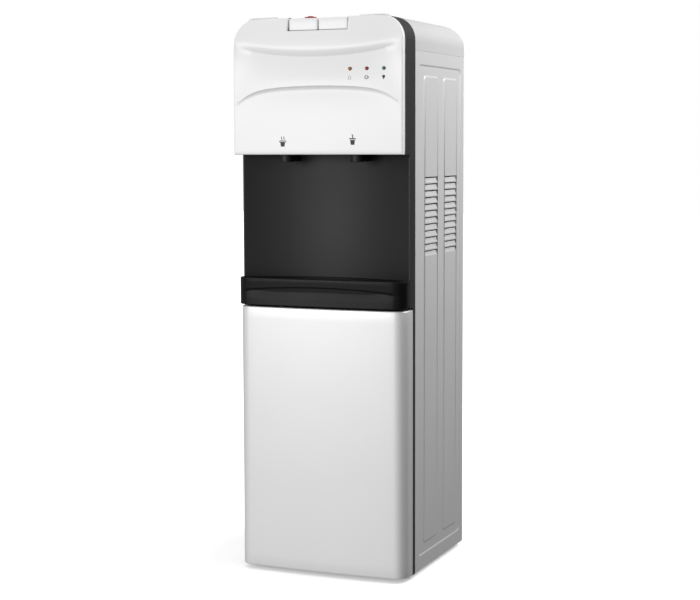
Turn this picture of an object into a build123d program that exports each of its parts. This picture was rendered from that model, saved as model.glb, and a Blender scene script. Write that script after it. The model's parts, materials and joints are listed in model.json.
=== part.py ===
from build123d import *
import os
from math import cos, radians, sin, sqrt

# Floor-standing hot and cold water dispenser, bottle on top. Millimetres.
# +X is the user's right, -Y is the front, +Z is up. The origin is on the floor,
# under the middle of the bounding box.

# ---------------------------------------------------------------- driving sizes
overall_width = 310.0
body_depth = 254.0          # side panels, front to back
front_overhang = 64.0       # nose of the front cover ahead of the side panels

foot_height = 8.0           # floor to the lower edge of the casing
door_height = 458.3
door_tray_gap = 3.2
tray_height = 47.0
alcove_height = 211.5       # tray lip to the underside of the front cover
cover_height = 230.0
top_cover_height = 56.0

# walls and general clearances
sheet = 1.5                 # folded steel sheet
shell = 3.0                 # outer plastic mouldings
thin_shell = 2.5            # inner plastic mouldings
running = 0.05              # radial clearance of a pin in its bore
slide_gap = 0.4             # between parts that slide past each other
fit_gap = 1.0               # between parts that are only near each other

# top and front outline
shoulder_radius = 40.0      # rounded upper corners, seen from the front
rear_radius = 40.0          # rounded upper rear edge
hood_depth = 49.5           # black frame ahead of the side panels
cover_reach = 60.0          # side edges of the front cover ahead of the panels
cover_lean = 5.0            # how far the cover's top edge leans back
visor_height = 60.0         # height of the leaning part
crease_drop = 66.0          # top of the cover to the crease, at the middle
crease_rise = 20.0          # crease at the sides, above the middle
crease_depth = 6.5
brow_drop = 114.5           # top of the cover to the brow, at the middle
brow_fall = 33.0            # brow at the sides, below the middle
scoop_depth = 6.0
scoop_height = 80.0
run_out = 0.8               # how far each cut runs clear of the bowed face
brow_step = 0.3

# alcove, drip tray and door
alcove_reach = 26.0         # front edges of the alcove ahead of the panels
alcove_sagitta = 34.0       # how far its back wall curves in
tray_reach = 57.0
tray_bow = 4.4
door_reach = 50.0
door_bow = 4.4
door_corner = 22.0
door_strip = 11.0           # black strip of the frame beside the door
tray_skirt = 3.0
grille_drop = 4.5           # grille below the tray's lip
grille_thickness = 3.0
grille_slot = 5.0
grille_pitch = 10.0
frame_leg = 2.2             # side wall of the black frame
door_flange = 13.0          # frame face that the door closes against
shelf_thickness = 3.0
shelf_lift = 1.2            # underside of the shelf above the tray's skirt

# push buttons and child lock
button_width = 51.6
button_gap = 1.8
button_side_gap = 2.2
button_height = 22.3
button_setback = -2.5       # face ahead of the front edge of the hood
button_depth = 41.0
button_wall = 2.5
pivot_radius = 1.5
pivot_from_rear = 4.0
pivot_drop = 9.0
lock_width = 18.0
lock_knob_width = 8.0
lock_travel = 5.0
lock_height = 2.6
lock_from_centre = 17.0
lock_from_face = 9.0

# taps
tap_spacing = 130.0
spout_reach = 38.0
spout_radius = 11.0
spout_bore = 4.0
spout_drop = 12.5           # below the front cover
arm_width = 18.0
tap_radius = 14.0
tap_height = 32.0
rod_radius = 3.0
rod_offset = 30.0           # push rod from the centre plane
rod_from_face = 12.0
stem_rise = 16.0            # top of a tap's stem above the tap
spring_radius = 6.5
spring_wire = 0.6
spring_turns = 5

# indicator lamps
lamp_radius = 3.0
lamp_pitch = 30.0
lamp_first = 61.5
lamp_drop = 88.3            # below the top of the cover
lamp_proud = 0.8

# bottle seat
seat_y_from_front = 115.0   # centre behind the front edge of the side panels
seat_radius = 108.0
seat_lip = 2.0
seat_inner = 98.0
seat_wall = 2.5
guard_radius = 34.0
guard_depth = 78.0
probe_radius = 9.5
probe_height = 52.0

# side panel pressings
panel_fold = 12.0
recess_depth = 1.5
recess_margin_y = 17.0
recess_margin_low = 24.0
recess_margin_high = 22.0
recess_corner = 9.0
field_depth = 1.2           # upright fields, raised back out of the recess
field_corner = 8.0
field_first = 44.0
field_width = 73.0
field_pitch = 101.0
field_margin_low = 18.0
field_margin_high = 18.0
louvre_rows = 12
louvre_pitch = 11.5
louvre_drop = 213.0         # top of the side panel to the first slot
louvre_length = 66.0
louvre_height = 8.0
louvre_press = 4.0

# base, feet and back of the cabinet
foot_radius = 15.0
foot_inset_x = 34.0
foot_inset_y = 30.0
rear_inset = 22.0           # rear panel inside the side panels
pan_height = 18.0
vent_rows = 7
vent_width = 150.0
vent_slot = 4.0
vent_pitch = 12.0
switch_width = 46.0
switch_height = 26.0
rocker_radius = 11.0
rocker_width = 15.0
rocker_depth = 4.0
rocker_pitch = 21.0
rocker_tilt = 8.0
drain_radius = 8.0
drain_bore = 4.0
drain_reach = 14.0
cold_drain_x = 60.0
drain_rise = 34.0           # hot drain above the deck
drain_drop = 26.0           # cold drain below the bracket
cap_radius = 11.0
cap_length = 12.0
gland_radius = 9.0
gland_bore = 4.0
gland_length = 14.0
screw_radius = 1.5
screw_head = 3.5

# water and cooling system
cold_tank_radius = 75.0
cold_tank_height = 165.0
tank_wall = 1.2
coil_tube = 3.0
coil_turns = 7
coil_pitch = 18.0
insulation = 16.0           # under the tank; round it the foam fills the room left
insulation_gap = 6.5        # foam to the alcove wall
hot_tank_radius = 46.0
hot_tank_height = 150.0
heater_thickness = 3.0
jacket = 10.0
hose_radius = 5.0
hose_bend = 14.0
hose_rise = 12.0            # hot hose above the jacket
compressor_radius = 60.0
compressor_height = 150.0
grommet_radius = 9.0
grommet_height = 12.0
condenser_rise = 100.0      # lowest run above the base
condenser_tube = 2.5
condenser_runs = 9
condenser_pitch = 40.0
condenser_wires = 12
wire_radius = 0.8
pipe_radius = 3.0
pipe_bend = 8.0

# storage cabinet
liner_wall = 2.5
liner_depth = 150.0
liner_width = 270.0
liner_height = 250.0
hinge_radius = 2.5
hinge_inset_x = 8.0
hinge_inset_y = 14.0        # axis ahead of the frame's door face
hinge_return = 6.0          # door edge by the hinge, ahead of the frame's door face
boss_radius = 6.0
boss_height = 12.0
magnet_inset_x = 26.0

# ---------------------------------------------------------------- derived levels
half_width = overall_width / 2
overall_depth = body_depth + front_overhang
back_y = overall_depth / 2
panel_y = back_y - body_depth            # front edges of the side panels
cover_bow = front_overhang - cover_reach

door_z = foot_height
door_top_z = door_z + door_height
tray_z = door_top_z + door_tray_gap
tray_top_z = tray_z + tray_height
cover_z = tray_top_z + alcove_height
cover_top_z = cover_z + cover_height
seam_z = cover_top_z - top_cover_height

crease_z = cover_top_z - crease_drop
brow_z = cover_top_z - brow_drop

hood_y = panel_y - hood_depth
cover_edge_y = panel_y - cover_reach
alcove_y = panel_y - alcove_reach
tray_y = panel_y - tray_reach
door_y = panel_y - door_reach
door_back_y = panel_y - door_strip
rear_y = back_y - rear_inset
base_z = foot_height + 2.0
inner_x = half_width - sheet
skin_x = inner_x - recess_depth          # inside of the pressed side panels

button_face_y = hood_y + button_setback
button_rear_y = button_face_y + button_depth
button_low_z = cover_top_z - button_height
button_top_z = cover_top_z - 0.5
pivot_y = button_rear_y - pivot_from_rear
pivot_z = cover_top_z - pivot_drop
notch_half = button_gap / 2 + button_width + button_side_gap
rod_y = button_face_y + rod_from_face

spout_x = tap_spacing / 2
spout_y = panel_y - spout_reach
arm_outer_x = spout_x + arm_width / 2
arm_end_y = alcove_y + alcove_sagitta * (1 - (arm_outer_x / half_width) ** 2) - slide_gap
spout_z = cover_z - spout_drop
tap_z = cover_z + 14.0
tap_top_z = tap_z + tap_height
tap_inlet_z = tap_z + tap_height / 2
seat_y = panel_y + seat_y_from_front
guard_floor_z = cover_top_z - guard_depth - thin_shell

shelf_z = tray_z + shelf_lift
shelf_top_z = shelf_z + shelf_thickness
tray_floor_z = shelf_top_z + slide_gap
deck_z = tray_z + 1.0
cold_floor_z = guard_floor_z - cold_tank_height - 6.0
insulation_bore = cold_tank_radius + 2 * coil_tube + fit_gap
insulation_radius = seat_y_from_front + alcove_reach - alcove_sagitta - thin_shell - insulation_gap
bracket_z = cold_floor_z - insulation - sheet
hot_x = -half_width + 80.0
hot_y = panel_y + 135.0
hot_z = deck_z + sheet + 6.0
hot_room = bracket_z - hot_z - jacket - hose_rise - hose_radius - fit_gap
hot_height = min(hot_tank_height, hot_room)
jacket_radius = hot_tank_radius + heater_thickness + jacket
hose_y = seat_y - insulation_radius - hose_radius + 14.0
liner_z = door_top_z - liner_height - 6.0
liner_y = panel_y + 2.0
compressor_x = 10.0
compressor_y = panel_y + 165.0
compressor_z = base_z + sheet + grommet_height
feed_x = 0.0

lock_x = -lock_from_centre
lock_y = button_face_y + lock_from_face
rod_head_z = button_top_z - button_wall - 0.6
stem_top_z = tap_top_z + stem_rise
tray_rear_half = half_width - frame_leg - thin_shell
tray_narrow_y = alcove_y - 0.6
hinge_x = -half_width + hinge_inset_x
hinge_y = door_back_y - hinge_inset_y
left_return_y = door_back_y - hinge_return
magnet_x = half_width - magnet_inset_x
magnet_z = (door_z + door_top_z) / 2

drain_z_hot = deck_z + drain_rise
drain_z_cold = bracket_z - drain_drop
switch_x = half_width - 70.0
switch_z = seam_z - 90.0
gland_x = -half_width + 40.0
gland_z = base_z + 58.0
pipe_x = half_width - 30.0
pipe_in_z = base_z + 130.0
condenser_y = rear_y + 12.0
condenser_half = half_width - 42.0
condenser_z = base_z + condenser_rise

pieces = {}


def arc_y(edge_y, bow, x):
    """Y of a face that passes through edge_y at the sides and bows forward by bow."""
    radius = (half_width**2 + bow**2) / (2 * bow)
    return edge_y - bow + radius - sqrt(radius**2 - x**2)


def hood_outline(inset, low):
    """Front outline of the upper casing, down to z = low, with sketch Y along Z."""
    w = half_width - inset
    top = cover_top_z - inset
    r = shoulder_radius - inset
    k = r * (1 - cos(radians(45)))
    with BuildSketch() as outline:
        with BuildLine():
            Line((-w, low), (w, low))
            Line((w, low), (w, top - r))
            ThreePointArc((w, top - r), (w - k, top - k), (w - r, top))
            Line((w - r, top), (-w + r, top))
            ThreePointArc((-w + r, top), (-w + k, top - k), (-w, top - r))
            Line((-w, top - r), (-w, low))
        make_face()
    return outline.sketch


def bowed_plan(half, edge_y, bow, corner, rear_y_left, rear_y_right):
    """Plan outline of a part with a bowed front and two rounded front corners."""
    k = corner * (1 - cos(radians(45)))
    with BuildSketch() as outline:
        with BuildLine():
            Line((half, rear_y_right), (-half, rear_y_left))
            Line((-half, rear_y_left), (-half, edge_y + corner))
            ThreePointArc((-half, edge_y + corner), (-half + k, edge_y + k), (-half + corner, edge_y))
            ThreePointArc((-half + corner, edge_y), (0, edge_y - bow), (half - corner, edge_y))
            ThreePointArc((half - corner, edge_y), (half - k, edge_y + k), (half, edge_y + corner))
            Line((half, edge_y + corner), (half, rear_y_right))
        make_face()
    return outline.sketch


def box(x0, x1, y0, y1, z0, z1, mode=Mode.ADD):
    """Axis-aligned block between two corners, in the active part."""
    with Locations(((x0 + x1) / 2, (y0 + y1) / 2, (z0 + z1) / 2)):
        Box(abs(x1 - x0), abs(y1 - y0), abs(z1 - z0), mode=mode)


def rod(x, y, z0, z1, r, mode=Mode.ADD):
    """Upright cylinder."""
    with Locations((x, y, (z0 + z1) / 2)):
        Cylinder(r, z1 - z0, mode=mode)


def rod_along_y(x, z, y0, y1, r, mode=Mode.ADD):
    """Cylinder along Y."""
    with Locations(Location((x, (y0 + y1) / 2, z), (90, 0, 0))):
        Cylinder(r, abs(y1 - y0), mode=mode)


def rod_along_x(y, z, x0, x1, r, mode=Mode.ADD):
    """Cylinder along X."""
    with Locations(Location(((x0 + x1) / 2, y, z), (0, 90, 0))):
        Cylinder(r, abs(x1 - x0), mode=mode)


def hose(points, r, bend):
    """Solid flexible pipe along straight runs joined by bends."""
    with BuildPart() as piece:
        with BuildLine() as route:
            FilletPolyline(*points, radius=bend)
        start = Vector(*points[0])
        ahead = Vector(*points[1]) - start
        with BuildSketch(Plane(origin=start, z_dir=ahead)):
            Circle(r)
        sweep(path=route.line)
    return piece


def keep(name, piece):
    pieces[name] = piece


# ---------------------------------------------------------------- casing
def make_base_pan():
    with BuildPart() as pan:
        box(-inner_x, inner_x, panel_y + sheet, rear_y, base_z, base_z + pan_height)
        box(-inner_x + sheet, inner_x - sheet, panel_y + 2 * sheet, rear_y - sheet,
            base_z + sheet, base_z + 30, mode=Mode.SUBTRACT)
    return pan


def foot_places():
    x = half_width - foot_inset_x
    front = panel_y + foot_inset_y
    rear = rear_y - foot_inset_y
    return [(-x, front), (x, front), (-x, rear), (x, rear)]


def make_feet():
    with BuildPart() as feet:
        with Locations(*[(x, y, base_z / 2) for x, y in foot_places()]):
            Cone(foot_radius - 2, foot_radius, base_z)
    return feet


def pressed_recess(x_face, y0, y1, z0, z1, corner, depth):
    """Pocket pressed inwards from x_face over a rounded rectangle."""
    plane = Plane(origin=(x_face, (y0 + y1) / 2, (z0 + z1) / 2), x_dir=(0, 1, 0), z_dir=(1, 0, 0))
    with BuildPart(mode=Mode.PRIVATE) as pocket:
        with BuildSketch(plane):
            RectangleRounded(y1 - y0, z1 - z0, corner)
        extrude(amount=-depth)
    return pocket.part


def make_right_side_panel():
    x = half_width
    y0, y1 = panel_y + recess_margin_y, back_y - recess_margin_y
    z0, z1 = foot_height + recess_margin_low, seam_z - recess_margin_high
    fields = []
    for i in range(2):
        f0 = panel_y + field_first + i * field_pitch
        fields.append((f0, f0 + field_width))
    f_low, f_high = z0 + field_margin_low, z1 - field_margin_high
    with BuildPart() as panel:
        box(x - sheet, x, panel_y, back_y, foot_height, seam_z)
        box(x - panel_fold, x - sheet, panel_y, panel_y + sheet, base_z + pan_height, seam_z)
        box(x - panel_fold, x - sheet, rear_y - 2 * sheet, rear_y - sheet, base_z + pan_height, seam_z)
        box(x - panel_fold, x - sheet, back_y - sheet, back_y, foot_height, seam_z)
        add(pressed_recess(x - sheet, y0 - sheet, y1 + sheet, z0 - sheet, z1 + sheet,
                           recess_corner + sheet, recess_depth))
        add(pressed_recess(x, y0, y1, z0, z1, recess_corner, recess_depth), mode=Mode.SUBTRACT)
        for f0, f1 in fields:
            x_field = x - recess_depth + field_depth
            add(pressed_recess(x_field, f0, f1, f_low, f_high, field_corner, field_depth))
            add(pressed_recess(x - sheet - recess_depth + field_depth, f0 + sheet, f1 - sheet,
                               f_low + sheet, f_high - sheet, field_corner - sheet, field_depth),
                mode=Mode.SUBTRACT)
            middle = (f0 + f1) / 2
            for row in range(louvre_rows):
                z_slot = seam_z - louvre_drop - row * louvre_pitch
                box(x_field - sheet - 1, x_field + 1, middle - louvre_length / 2,
                    middle + louvre_length / 2, z_slot - louvre_height, z_slot, mode=Mode.SUBTRACT)
                with BuildSketch(Plane.XZ.offset(-(middle - louvre_length / 2))):
                    with BuildLine():
                        Polyline((x_field, z_slot - louvre_height), (x_field - louvre_press, z_slot - 1),
                                 (x_field - louvre_press - sheet, z_slot - 1),
                                 (x_field - sheet, z_slot - louvre_height), close=True)
                    make_face()
                extrude(amount=-louvre_length)
        for sx, z in screw_places():
            if sx > 0:
                rod_along_y(sx, z, rear_y - 4, rear_y + 4, screw_radius, Mode.SUBTRACT)
    return panel


def screw_places():
    places = []
    for x in (-skin_x + 5, skin_x - 5):
        for z in (base_z + 40, (base_z + seam_z) / 2, seam_z - 24):
            places.append((x, z))
    return places


def make_rear_panel():
    with BuildPart() as panel:
        box(-skin_x, skin_x, rear_y - sheet, rear_y, base_z + pan_height, seam_z)
        for row in range(vent_rows):
            with Locations((0, rear_y, base_z + 2 * pan_height + row * vent_pitch)):
                Box(vent_width, 4 * sheet, vent_slot, mode=Mode.SUBTRACT)
        rod_along_y(hot_x, drain_z_hot, rear_y - 4, rear_y + 4, drain_radius, Mode.SUBTRACT)
        rod_along_y(cold_drain_x, drain_z_cold, rear_y - 4, rear_y + 4, drain_radius, Mode.SUBTRACT)
        rod_along_y(gland_x, gland_z, rear_y - 4, rear_y + 4, gland_radius, Mode.SUBTRACT)
        rod_along_y(pipe_x, pipe_in_z, rear_y - 4, rear_y + 4, pipe_radius + fit_gap, Mode.SUBTRACT)
        with Locations((switch_x, rear_y, switch_z)):
            Box(switch_width, 4 * sheet, switch_height, mode=Mode.SUBTRACT)
        for x, z in screw_places():
            rod_along_y(x, z, rear_y - 4, rear_y + 4, screw_radius + running, Mode.SUBTRACT)
    return panel


def make_case_screws():
    with BuildPart() as screws:
        for x, z in screw_places():
            rod_along_y(x, z, rear_y, rear_y + 2.2, screw_head)
            rod_along_y(x, z, rear_y - 8, rear_y, screw_radius)
    return screws


def make_front_frame():
    w = half_width
    with BuildPart() as frame:
        # hood behind the front cover
        with BuildSketch(Plane.XZ.offset(-hood_y)):
            add(hood_outline(0, cover_z))
            add(hood_outline(shell, cover_z - 1), mode=Mode.SUBTRACT)
        extrude(amount=-hood_depth)
        for s in (-1, 1):
            # cheeks beside the alcove and strips beside the door
            box(s * (w - frame_leg), s * w, alcove_y, panel_y, tray_z, cover_z)
            box(s * (w - frame_leg), s * w, door_back_y, panel_y, door_z, tray_z)
            box(s * (w - door_flange), s * (w - frame_leg), door_back_y, door_back_y + thin_shell,
                door_z + 10, tray_z)
            # lugs that carry the button pivot
            box(s * (notch_half + 0.5), s * (notch_half + 4.5), pivot_y - 5, pivot_y + 5,
                pivot_z - 5, cover_top_z - shell)
        box(-w + door_flange, w - door_flange, door_back_y, door_back_y + thin_shell,
            door_z + 10, door_z + 26)
        # notch for the two buttons
        box(-notch_half, notch_half, hood_y - 1, button_rear_y + fit_gap, button_low_z,
            cover_top_z + 1, mode=Mode.SUBTRACT)
        rod_along_x(pivot_y, pivot_z, -notch_half - 6, notch_half + 6, pivot_radius, Mode.SUBTRACT)
    return frame


def make_top_cover():
    def block(inset):
        y0, y1 = panel_y, back_y - inset
        top = cover_top_z - inset
        r = rear_radius - inset
        k = r * (1 - cos(radians(45)))
        with BuildPart(mode=Mode.PRIVATE) as solid:
            with BuildSketch(Plane.XZ.offset(-y0)):
                add(hood_outline(inset, seam_z))
            extrude(amount=-(y1 - y0))
            with BuildSketch(Plane.YZ.offset(-half_width - 1)):
                with BuildLine():
                    Polyline((y1, top - r), (y1, seam_z - 1), (y0 - 1, seam_z - 1), (y0 - 1, top + 1),
                             (y1 - r, top + 1), (y1 - r, top))
                    ThreePointArc((y1 - r, top), (y1 - k, top - k), (y1, top - r))
                make_face()
            extrude(amount=overall_width + 2, mode=Mode.INTERSECT)
        return solid.part

    with BuildPart() as cover:
        add(block(0))
        add(block(shell), mode=Mode.SUBTRACT)
        rod(0, seat_y, seam_z, cover_top_z + 1, seat_inner + seat_wall, Mode.SUBTRACT)
    return cover


# ---------------------------------------------------------------- front cover
def cover_solid(inset, setback):
    """Sculpted front cover as a full block; inset and setback shrink it to the inside."""
    cover_front = -(cover_edge_y - cover_bow - 10)
    with BuildPart(mode=Mode.PRIVATE) as solid:
        with BuildSketch(Plane.XZ.offset(-hood_y)):
            add(hood_outline(inset, cover_z if inset == 0 else cover_z - 1))
        extrude(amount=cover_front + hood_y)
        # bowed face
        with BuildSketch(Plane.XY.offset(cover_z - 2)):
            with BuildLine():
                Line((half_width + 1, hood_y + 1), (-half_width - 1, hood_y + 1))
                Line((-half_width - 1, hood_y + 1), (-half_width - 1, cover_edge_y + setback))
                ThreePointArc((-half_width - 1, cover_edge_y + setback),
                              (0, cover_edge_y - cover_bow + setback),
                              (half_width + 1, cover_edge_y + setback))
                Line((half_width + 1, cover_edge_y + setback), (half_width + 1, hood_y + 1))
            make_face()
        extrude(amount=cover_height + 4, mode=Mode.INTERSECT)
        # visor leaning back towards the top
        nose = cover_edge_y - cover_bow + setback
        lean_z = cover_top_z - visor_height
        with BuildSketch(Plane.YZ.offset(-half_width - 1)):
            with BuildLine():
                Polyline((nose - 5, lean_z), (nose - run_out, lean_z),
                         (nose + cover_lean + 4, cover_top_z + 2), (nose - 5, cover_top_z + 2), close=True)
            make_face()
        extrude(amount=overall_width + 2, mode=Mode.SUBTRACT)
        add(ramp_cut(nose), mode=Mode.SUBTRACT)
        add(scoop_cut(nose), mode=Mode.SUBTRACT)
    return solid.part


def ramp_y(nose, z):
    """Y of the sloping band between the brow and the crease."""
    return nose + brow_step + crease_depth * (z - brow_z) / (crease_z - brow_z)


def ramp_cut(nose):
    """Wedge between the crease and the brow: deep under the crease, nothing at the brow."""
    w = half_width - 6
    low_z = brow_z - brow_fall
    low_y = ramp_y(nose, low_z)
    with BuildPart(mode=Mode.PRIVATE) as wedge:
        with BuildSketch(Plane.XZ.offset(-(nose + cover_lean + 4))):
            with BuildLine():
                ThreePointArc((-w, crease_z + crease_rise), (0, crease_z), (w, crease_z + crease_rise))
                Line((w, crease_z + crease_rise), (w, low_z))
                Line((w, low_z), (-w, low_z))
                Line((-w, low_z), (-w, crease_z + crease_rise))
            make_face()
        extrude(amount=30)
        with BuildSketch(Plane.YZ.offset(-half_width - 1)):
            with BuildLine():
                Polyline((nose - 30, low_z), (low_y, low_z), (ramp_y(nose, crease_z), crease_z),
                         (ramp_y(nose, crease_z), crease_z + crease_rise + 5),
                         (nose - 30, crease_z + crease_rise + 5), close=True)
            make_face()
        extrude(amount=overall_width + 2, mode=Mode.INTERSECT)
    return wedge.part


def scoop_cut(nose):
    """Hollow under the brow, fading out downwards."""
    w = half_width - 5
    low_z = brow_z - scoop_height
    with BuildPart(mode=Mode.PRIVATE) as scoop:
        with BuildSketch(Plane.XZ.offset(-(nose + scoop_depth + 1))):
            with BuildLine():
                ThreePointArc((-w, brow_z - brow_fall), (0, brow_z), (w, brow_z - brow_fall))
                Line((w, brow_z - brow_fall), (w, low_z))
                Line((w, low_z), (-w, low_z))
                Line((-w, low_z), (-w, brow_z - brow_fall))
            make_face()
        extrude(amount=30)
        with BuildSketch(Plane.YZ.offset(-half_width - 1)):
            with BuildLine():
                Polyline((nose - 30, low_z), (nose - run_out, low_z), (nose + scoop_depth, brow_z - 8),
                         (nose + scoop_depth, brow_z + 1), (nose - 30, brow_z + 1), close=True)
            make_face()
        extrude(amount=overall_width + 2, mode=Mode.INTERSECT)
    return scoop.part


def lamp_places():
    z = cover_top_z - lamp_drop
    return [(lamp_first + i * lamp_pitch, z) for i in range(3)]


def make_front_cover():
    with BuildPart() as cover:
        add(cover_solid(0, 0))
        add(cover_solid(shell, shell), mode=Mode.SUBTRACT)
        box(-notch_half, notch_half, cover_edge_y - cover_bow - 5, hood_y + 1, button_low_z,
            cover_top_z + 1, mode=Mode.SUBTRACT)
        for x, z in lamp_places():
            rod_along_y(x, z, cover_edge_y - 20, hood_y, lamp_radius + running, Mode.SUBTRACT)
    return cover


def make_lens(x, z):
    front = ramp_y(cover_edge_y - cover_bow, z) - lamp_proud
    with BuildPart() as lens:
        rod_along_y(x, z, front, hood_y, lamp_radius)
        rod_along_y(x, z, front + shell + 4, hood_y, lamp_radius + 1)
    return lens


# ---------------------------------------------------------------- alcove, tray, door
def alcove_plan(half, edge_y, sagitta, front_y):
    """Plan of the space in front of the alcove's curved back wall."""
    with BuildSketch() as outline:
        with BuildLine():
            Line((-half, front_y), (half, front_y))
            Line((half, front_y), (half, edge_y))
            ThreePointArc((half, edge_y), (0, edge_y + sagitta), (-half, edge_y))
            Line((-half, edge_y), (-half, front_y))
        make_face()
    return outline.sketch


def make_alcove_panel():
    half = half_width - frame_leg - 0.1
    flange_half = half_width - shell - 0.3
    floor_front = cover_edge_y + shell + 2
    with BuildPart() as panel:
        with BuildSketch(Plane.XY.offset(shelf_top_z)):
            add(alcove_plan(half, alcove_y + thin_shell, alcove_sagitta, alcove_y))
            add(alcove_plan(half, alcove_y, alcove_sagitta, alcove_y - 10), mode=Mode.SUBTRACT)
        extrude(amount=cover_z - shelf_top_z)
        with BuildSketch(Plane.XY.offset(cover_z)):
            add(alcove_plan(flange_half, alcove_y + thin_shell, alcove_sagitta, floor_front))
        extrude(amount=thin_shell)
        for s in (-1, 1):
            slot = arm_width / 2 + fit_gap
            box(s * spout_x - slot, s * spout_x + slot, spout_y, arm_end_y + 2 * fit_gap, cover_z - 0.01,
                cover_z + thin_shell + 0.01, mode=Mode.SUBTRACT)
            rod(s * spout_x, spout_y, cover_z - 0.01, cover_z + thin_shell + 0.01,
                spout_radius + fit_gap, Mode.SUBTRACT)
    return panel


def tray_plan(inset):
    """Plan of the drip tray: full width in front of the frame, narrower behind its edges."""
    half = half_width - inset
    rear_half = tray_rear_half - inset
    front = tray_y + inset
    corner = door_corner - inset
    k = corner * (1 - cos(radians(45)))
    wide_y = tray_narrow_y - inset
    sag = alcove_sagitta - 2
    rear_edge = alcove_y - 0.8 - inset
    with BuildSketch() as outline:
        with BuildLine():
            Line((-rear_half, wide_y), (-half, wide_y))
            Line((-half, wide_y), (-half, front + corner))
            ThreePointArc((-half, front + corner), (-half + k, front + k), (-half + corner, front))
            ThreePointArc((-half + corner, front), (0, front - tray_bow), (half - corner, front))
            ThreePointArc((half - corner, front), (half - k, front + k), (half, front + corner))
            Line((half, front + corner), (half, wide_y))
            Line((half, wide_y), (rear_half, wide_y))
            ThreePointArc((rear_half, wide_y), (0, rear_edge + sag), (-rear_half, wide_y))
        make_face()
    return outline.sketch


def make_drip_tray():
    with BuildPart() as tray:
        with BuildSketch(Plane.XY.offset(tray_floor_z)):
            add(tray_plan(0))
        extrude(amount=tray_top_z - tray_floor_z)
        with BuildSketch(Plane.XY.offset(tray_floor_z + thin_shell)):
            add(tray_plan(tray_skirt))
        extrude(amount=tray_height, mode=Mode.SUBTRACT)
        # skirt that hangs in front of the shelf
        with BuildSketch(Plane.XY.offset(tray_z)):
            add(tray_plan(0))
            add(tray_plan(tray_skirt), mode=Mode.SUBTRACT)
        extrude(amount=tray_floor_z - tray_z)
        box(-half_width - 1, half_width + 1, tray_y + door_corner + 4, panel_y + 20, tray_z - 1,
            tray_floor_z, mode=Mode.SUBTRACT)
        # ledge that carries the grille
        with BuildSketch(Plane.XY.offset(tray_top_z - grille_drop - grille_thickness - 2)):
            add(tray_plan(tray_skirt))
            add(tray_plan(tray_skirt + 2), mode=Mode.SUBTRACT)
        extrude(amount=2)
    return tray


def make_drip_grille():
    z0 = tray_top_z - grille_drop - grille_thickness
    count = int((overall_width - 70) / grille_pitch)
    with BuildPart() as grille:
        with BuildSketch(Plane.XY.offset(z0)):
            add(tray_plan(tray_skirt + slide_gap))
        extrude(amount=grille_thickness)
        with BuildSketch(Plane.XY.offset(z0)):
            with GridLocations(grille_pitch, 1, count, 1):
                Rectangle(grille_slot, 2 * overall_depth)
            add(alcove_plan(half_width - door_corner - 10, alcove_y - 10, alcove_sagitta - 6, tray_y + 8),
                mode=Mode.INTERSECT)
        extrude(amount=grille_thickness, mode=Mode.SUBTRACT)
    return grille


def make_tray_shelf():
    half = half_width - frame_leg - 0.2
    front = tray_y + tray_skirt + 1.5
    with BuildPart() as shelf:
        with BuildSketch(Plane.XY.offset(shelf_z)):
            add(bowed_plan(half - 2, front, tray_bow, door_corner - tray_skirt, panel_y - 4, panel_y - 4))
        extrude(amount=shelf_thickness)
        rod(hinge_x, hinge_y, tray_z, shelf_top_z + 1, hinge_radius, Mode.SUBTRACT)
    return shelf


def make_door_panel():
    with BuildPart() as door:
        with BuildSketch(Plane.XY.offset(door_z)):
            add(bowed_plan(half_width, door_y, door_bow, door_corner, left_return_y, door_back_y - 0.4))
        extrude(amount=door_height)
        with BuildSketch(Plane.XY.offset(door_z + thin_shell)):
            add(bowed_plan(half_width - thin_shell, door_y + thin_shell, door_bow, door_corner - thin_shell,
                           left_return_y + 1, door_back_y + 1))
        extrude(amount=door_height - 2 * thin_shell, mode=Mode.SUBTRACT)
        rod(hinge_x, hinge_y, door_z, door_z + boss_height, boss_radius)
        rod(hinge_x, hinge_y, door_top_z - boss_height, door_top_z, boss_radius)
        rod(hinge_x, hinge_y, door_z - 1, door_z + boss_height + 1, hinge_radius + running, Mode.SUBTRACT)
        rod(hinge_x, hinge_y, door_top_z - boss_height - 1, door_top_z + 1, hinge_radius + running,
            Mode.SUBTRACT)
    return door


def make_door_liner():
    half = half_width - thin_shell - 0.2
    with BuildPart() as liner:
        box(-half, half, left_return_y - 3, left_return_y - 0.6, door_z + thin_shell + 0.2,
            door_top_z - thin_shell - 0.2)
        box(-half + 14, half - 8, left_return_y - 3, door_back_y - 1.2, door_z + 24, door_top_z - 24)
        box(-half + 16.4, half - 10.4, left_return_y - 4, door_back_y - 3.6, door_z + 26.4,
            door_top_z - 26.4, mode=Mode.SUBTRACT)
        for z in (door_z, door_top_z):
            rod(hinge_x, hinge_y, z - boss_height - 2, z + boss_height + 2, boss_radius + 1, Mode.SUBTRACT)
    return liner


def make_upper_hinge_pin():
    with BuildPart() as pin:
        rod(hinge_x, hinge_y, door_top_z - boss_height + 2, shelf_top_z, hinge_radius)
    return pin


def make_lower_hinge():
    with BuildPart() as bracket:
        box(hinge_x - 7, hinge_x + 7, hinge_y - 7, panel_y + 24, foot_height - 3, foot_height - 0.5)
        box(hinge_x - 6.5, hinge_x + 7, panel_y + 4, panel_y + 24, foot_height - 3, base_z)
        rod(hinge_x, hinge_y, foot_height - 3, door_z + boss_height - 2, hinge_radius)
    return bracket


def make_door_magnet():
    with BuildPart() as magnet:
        box(magnet_x - 12, magnet_x + 10, door_back_y + thin_shell, door_back_y + thin_shell + 9,
            magnet_z - 20, magnet_z + 20)
    return magnet


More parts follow.
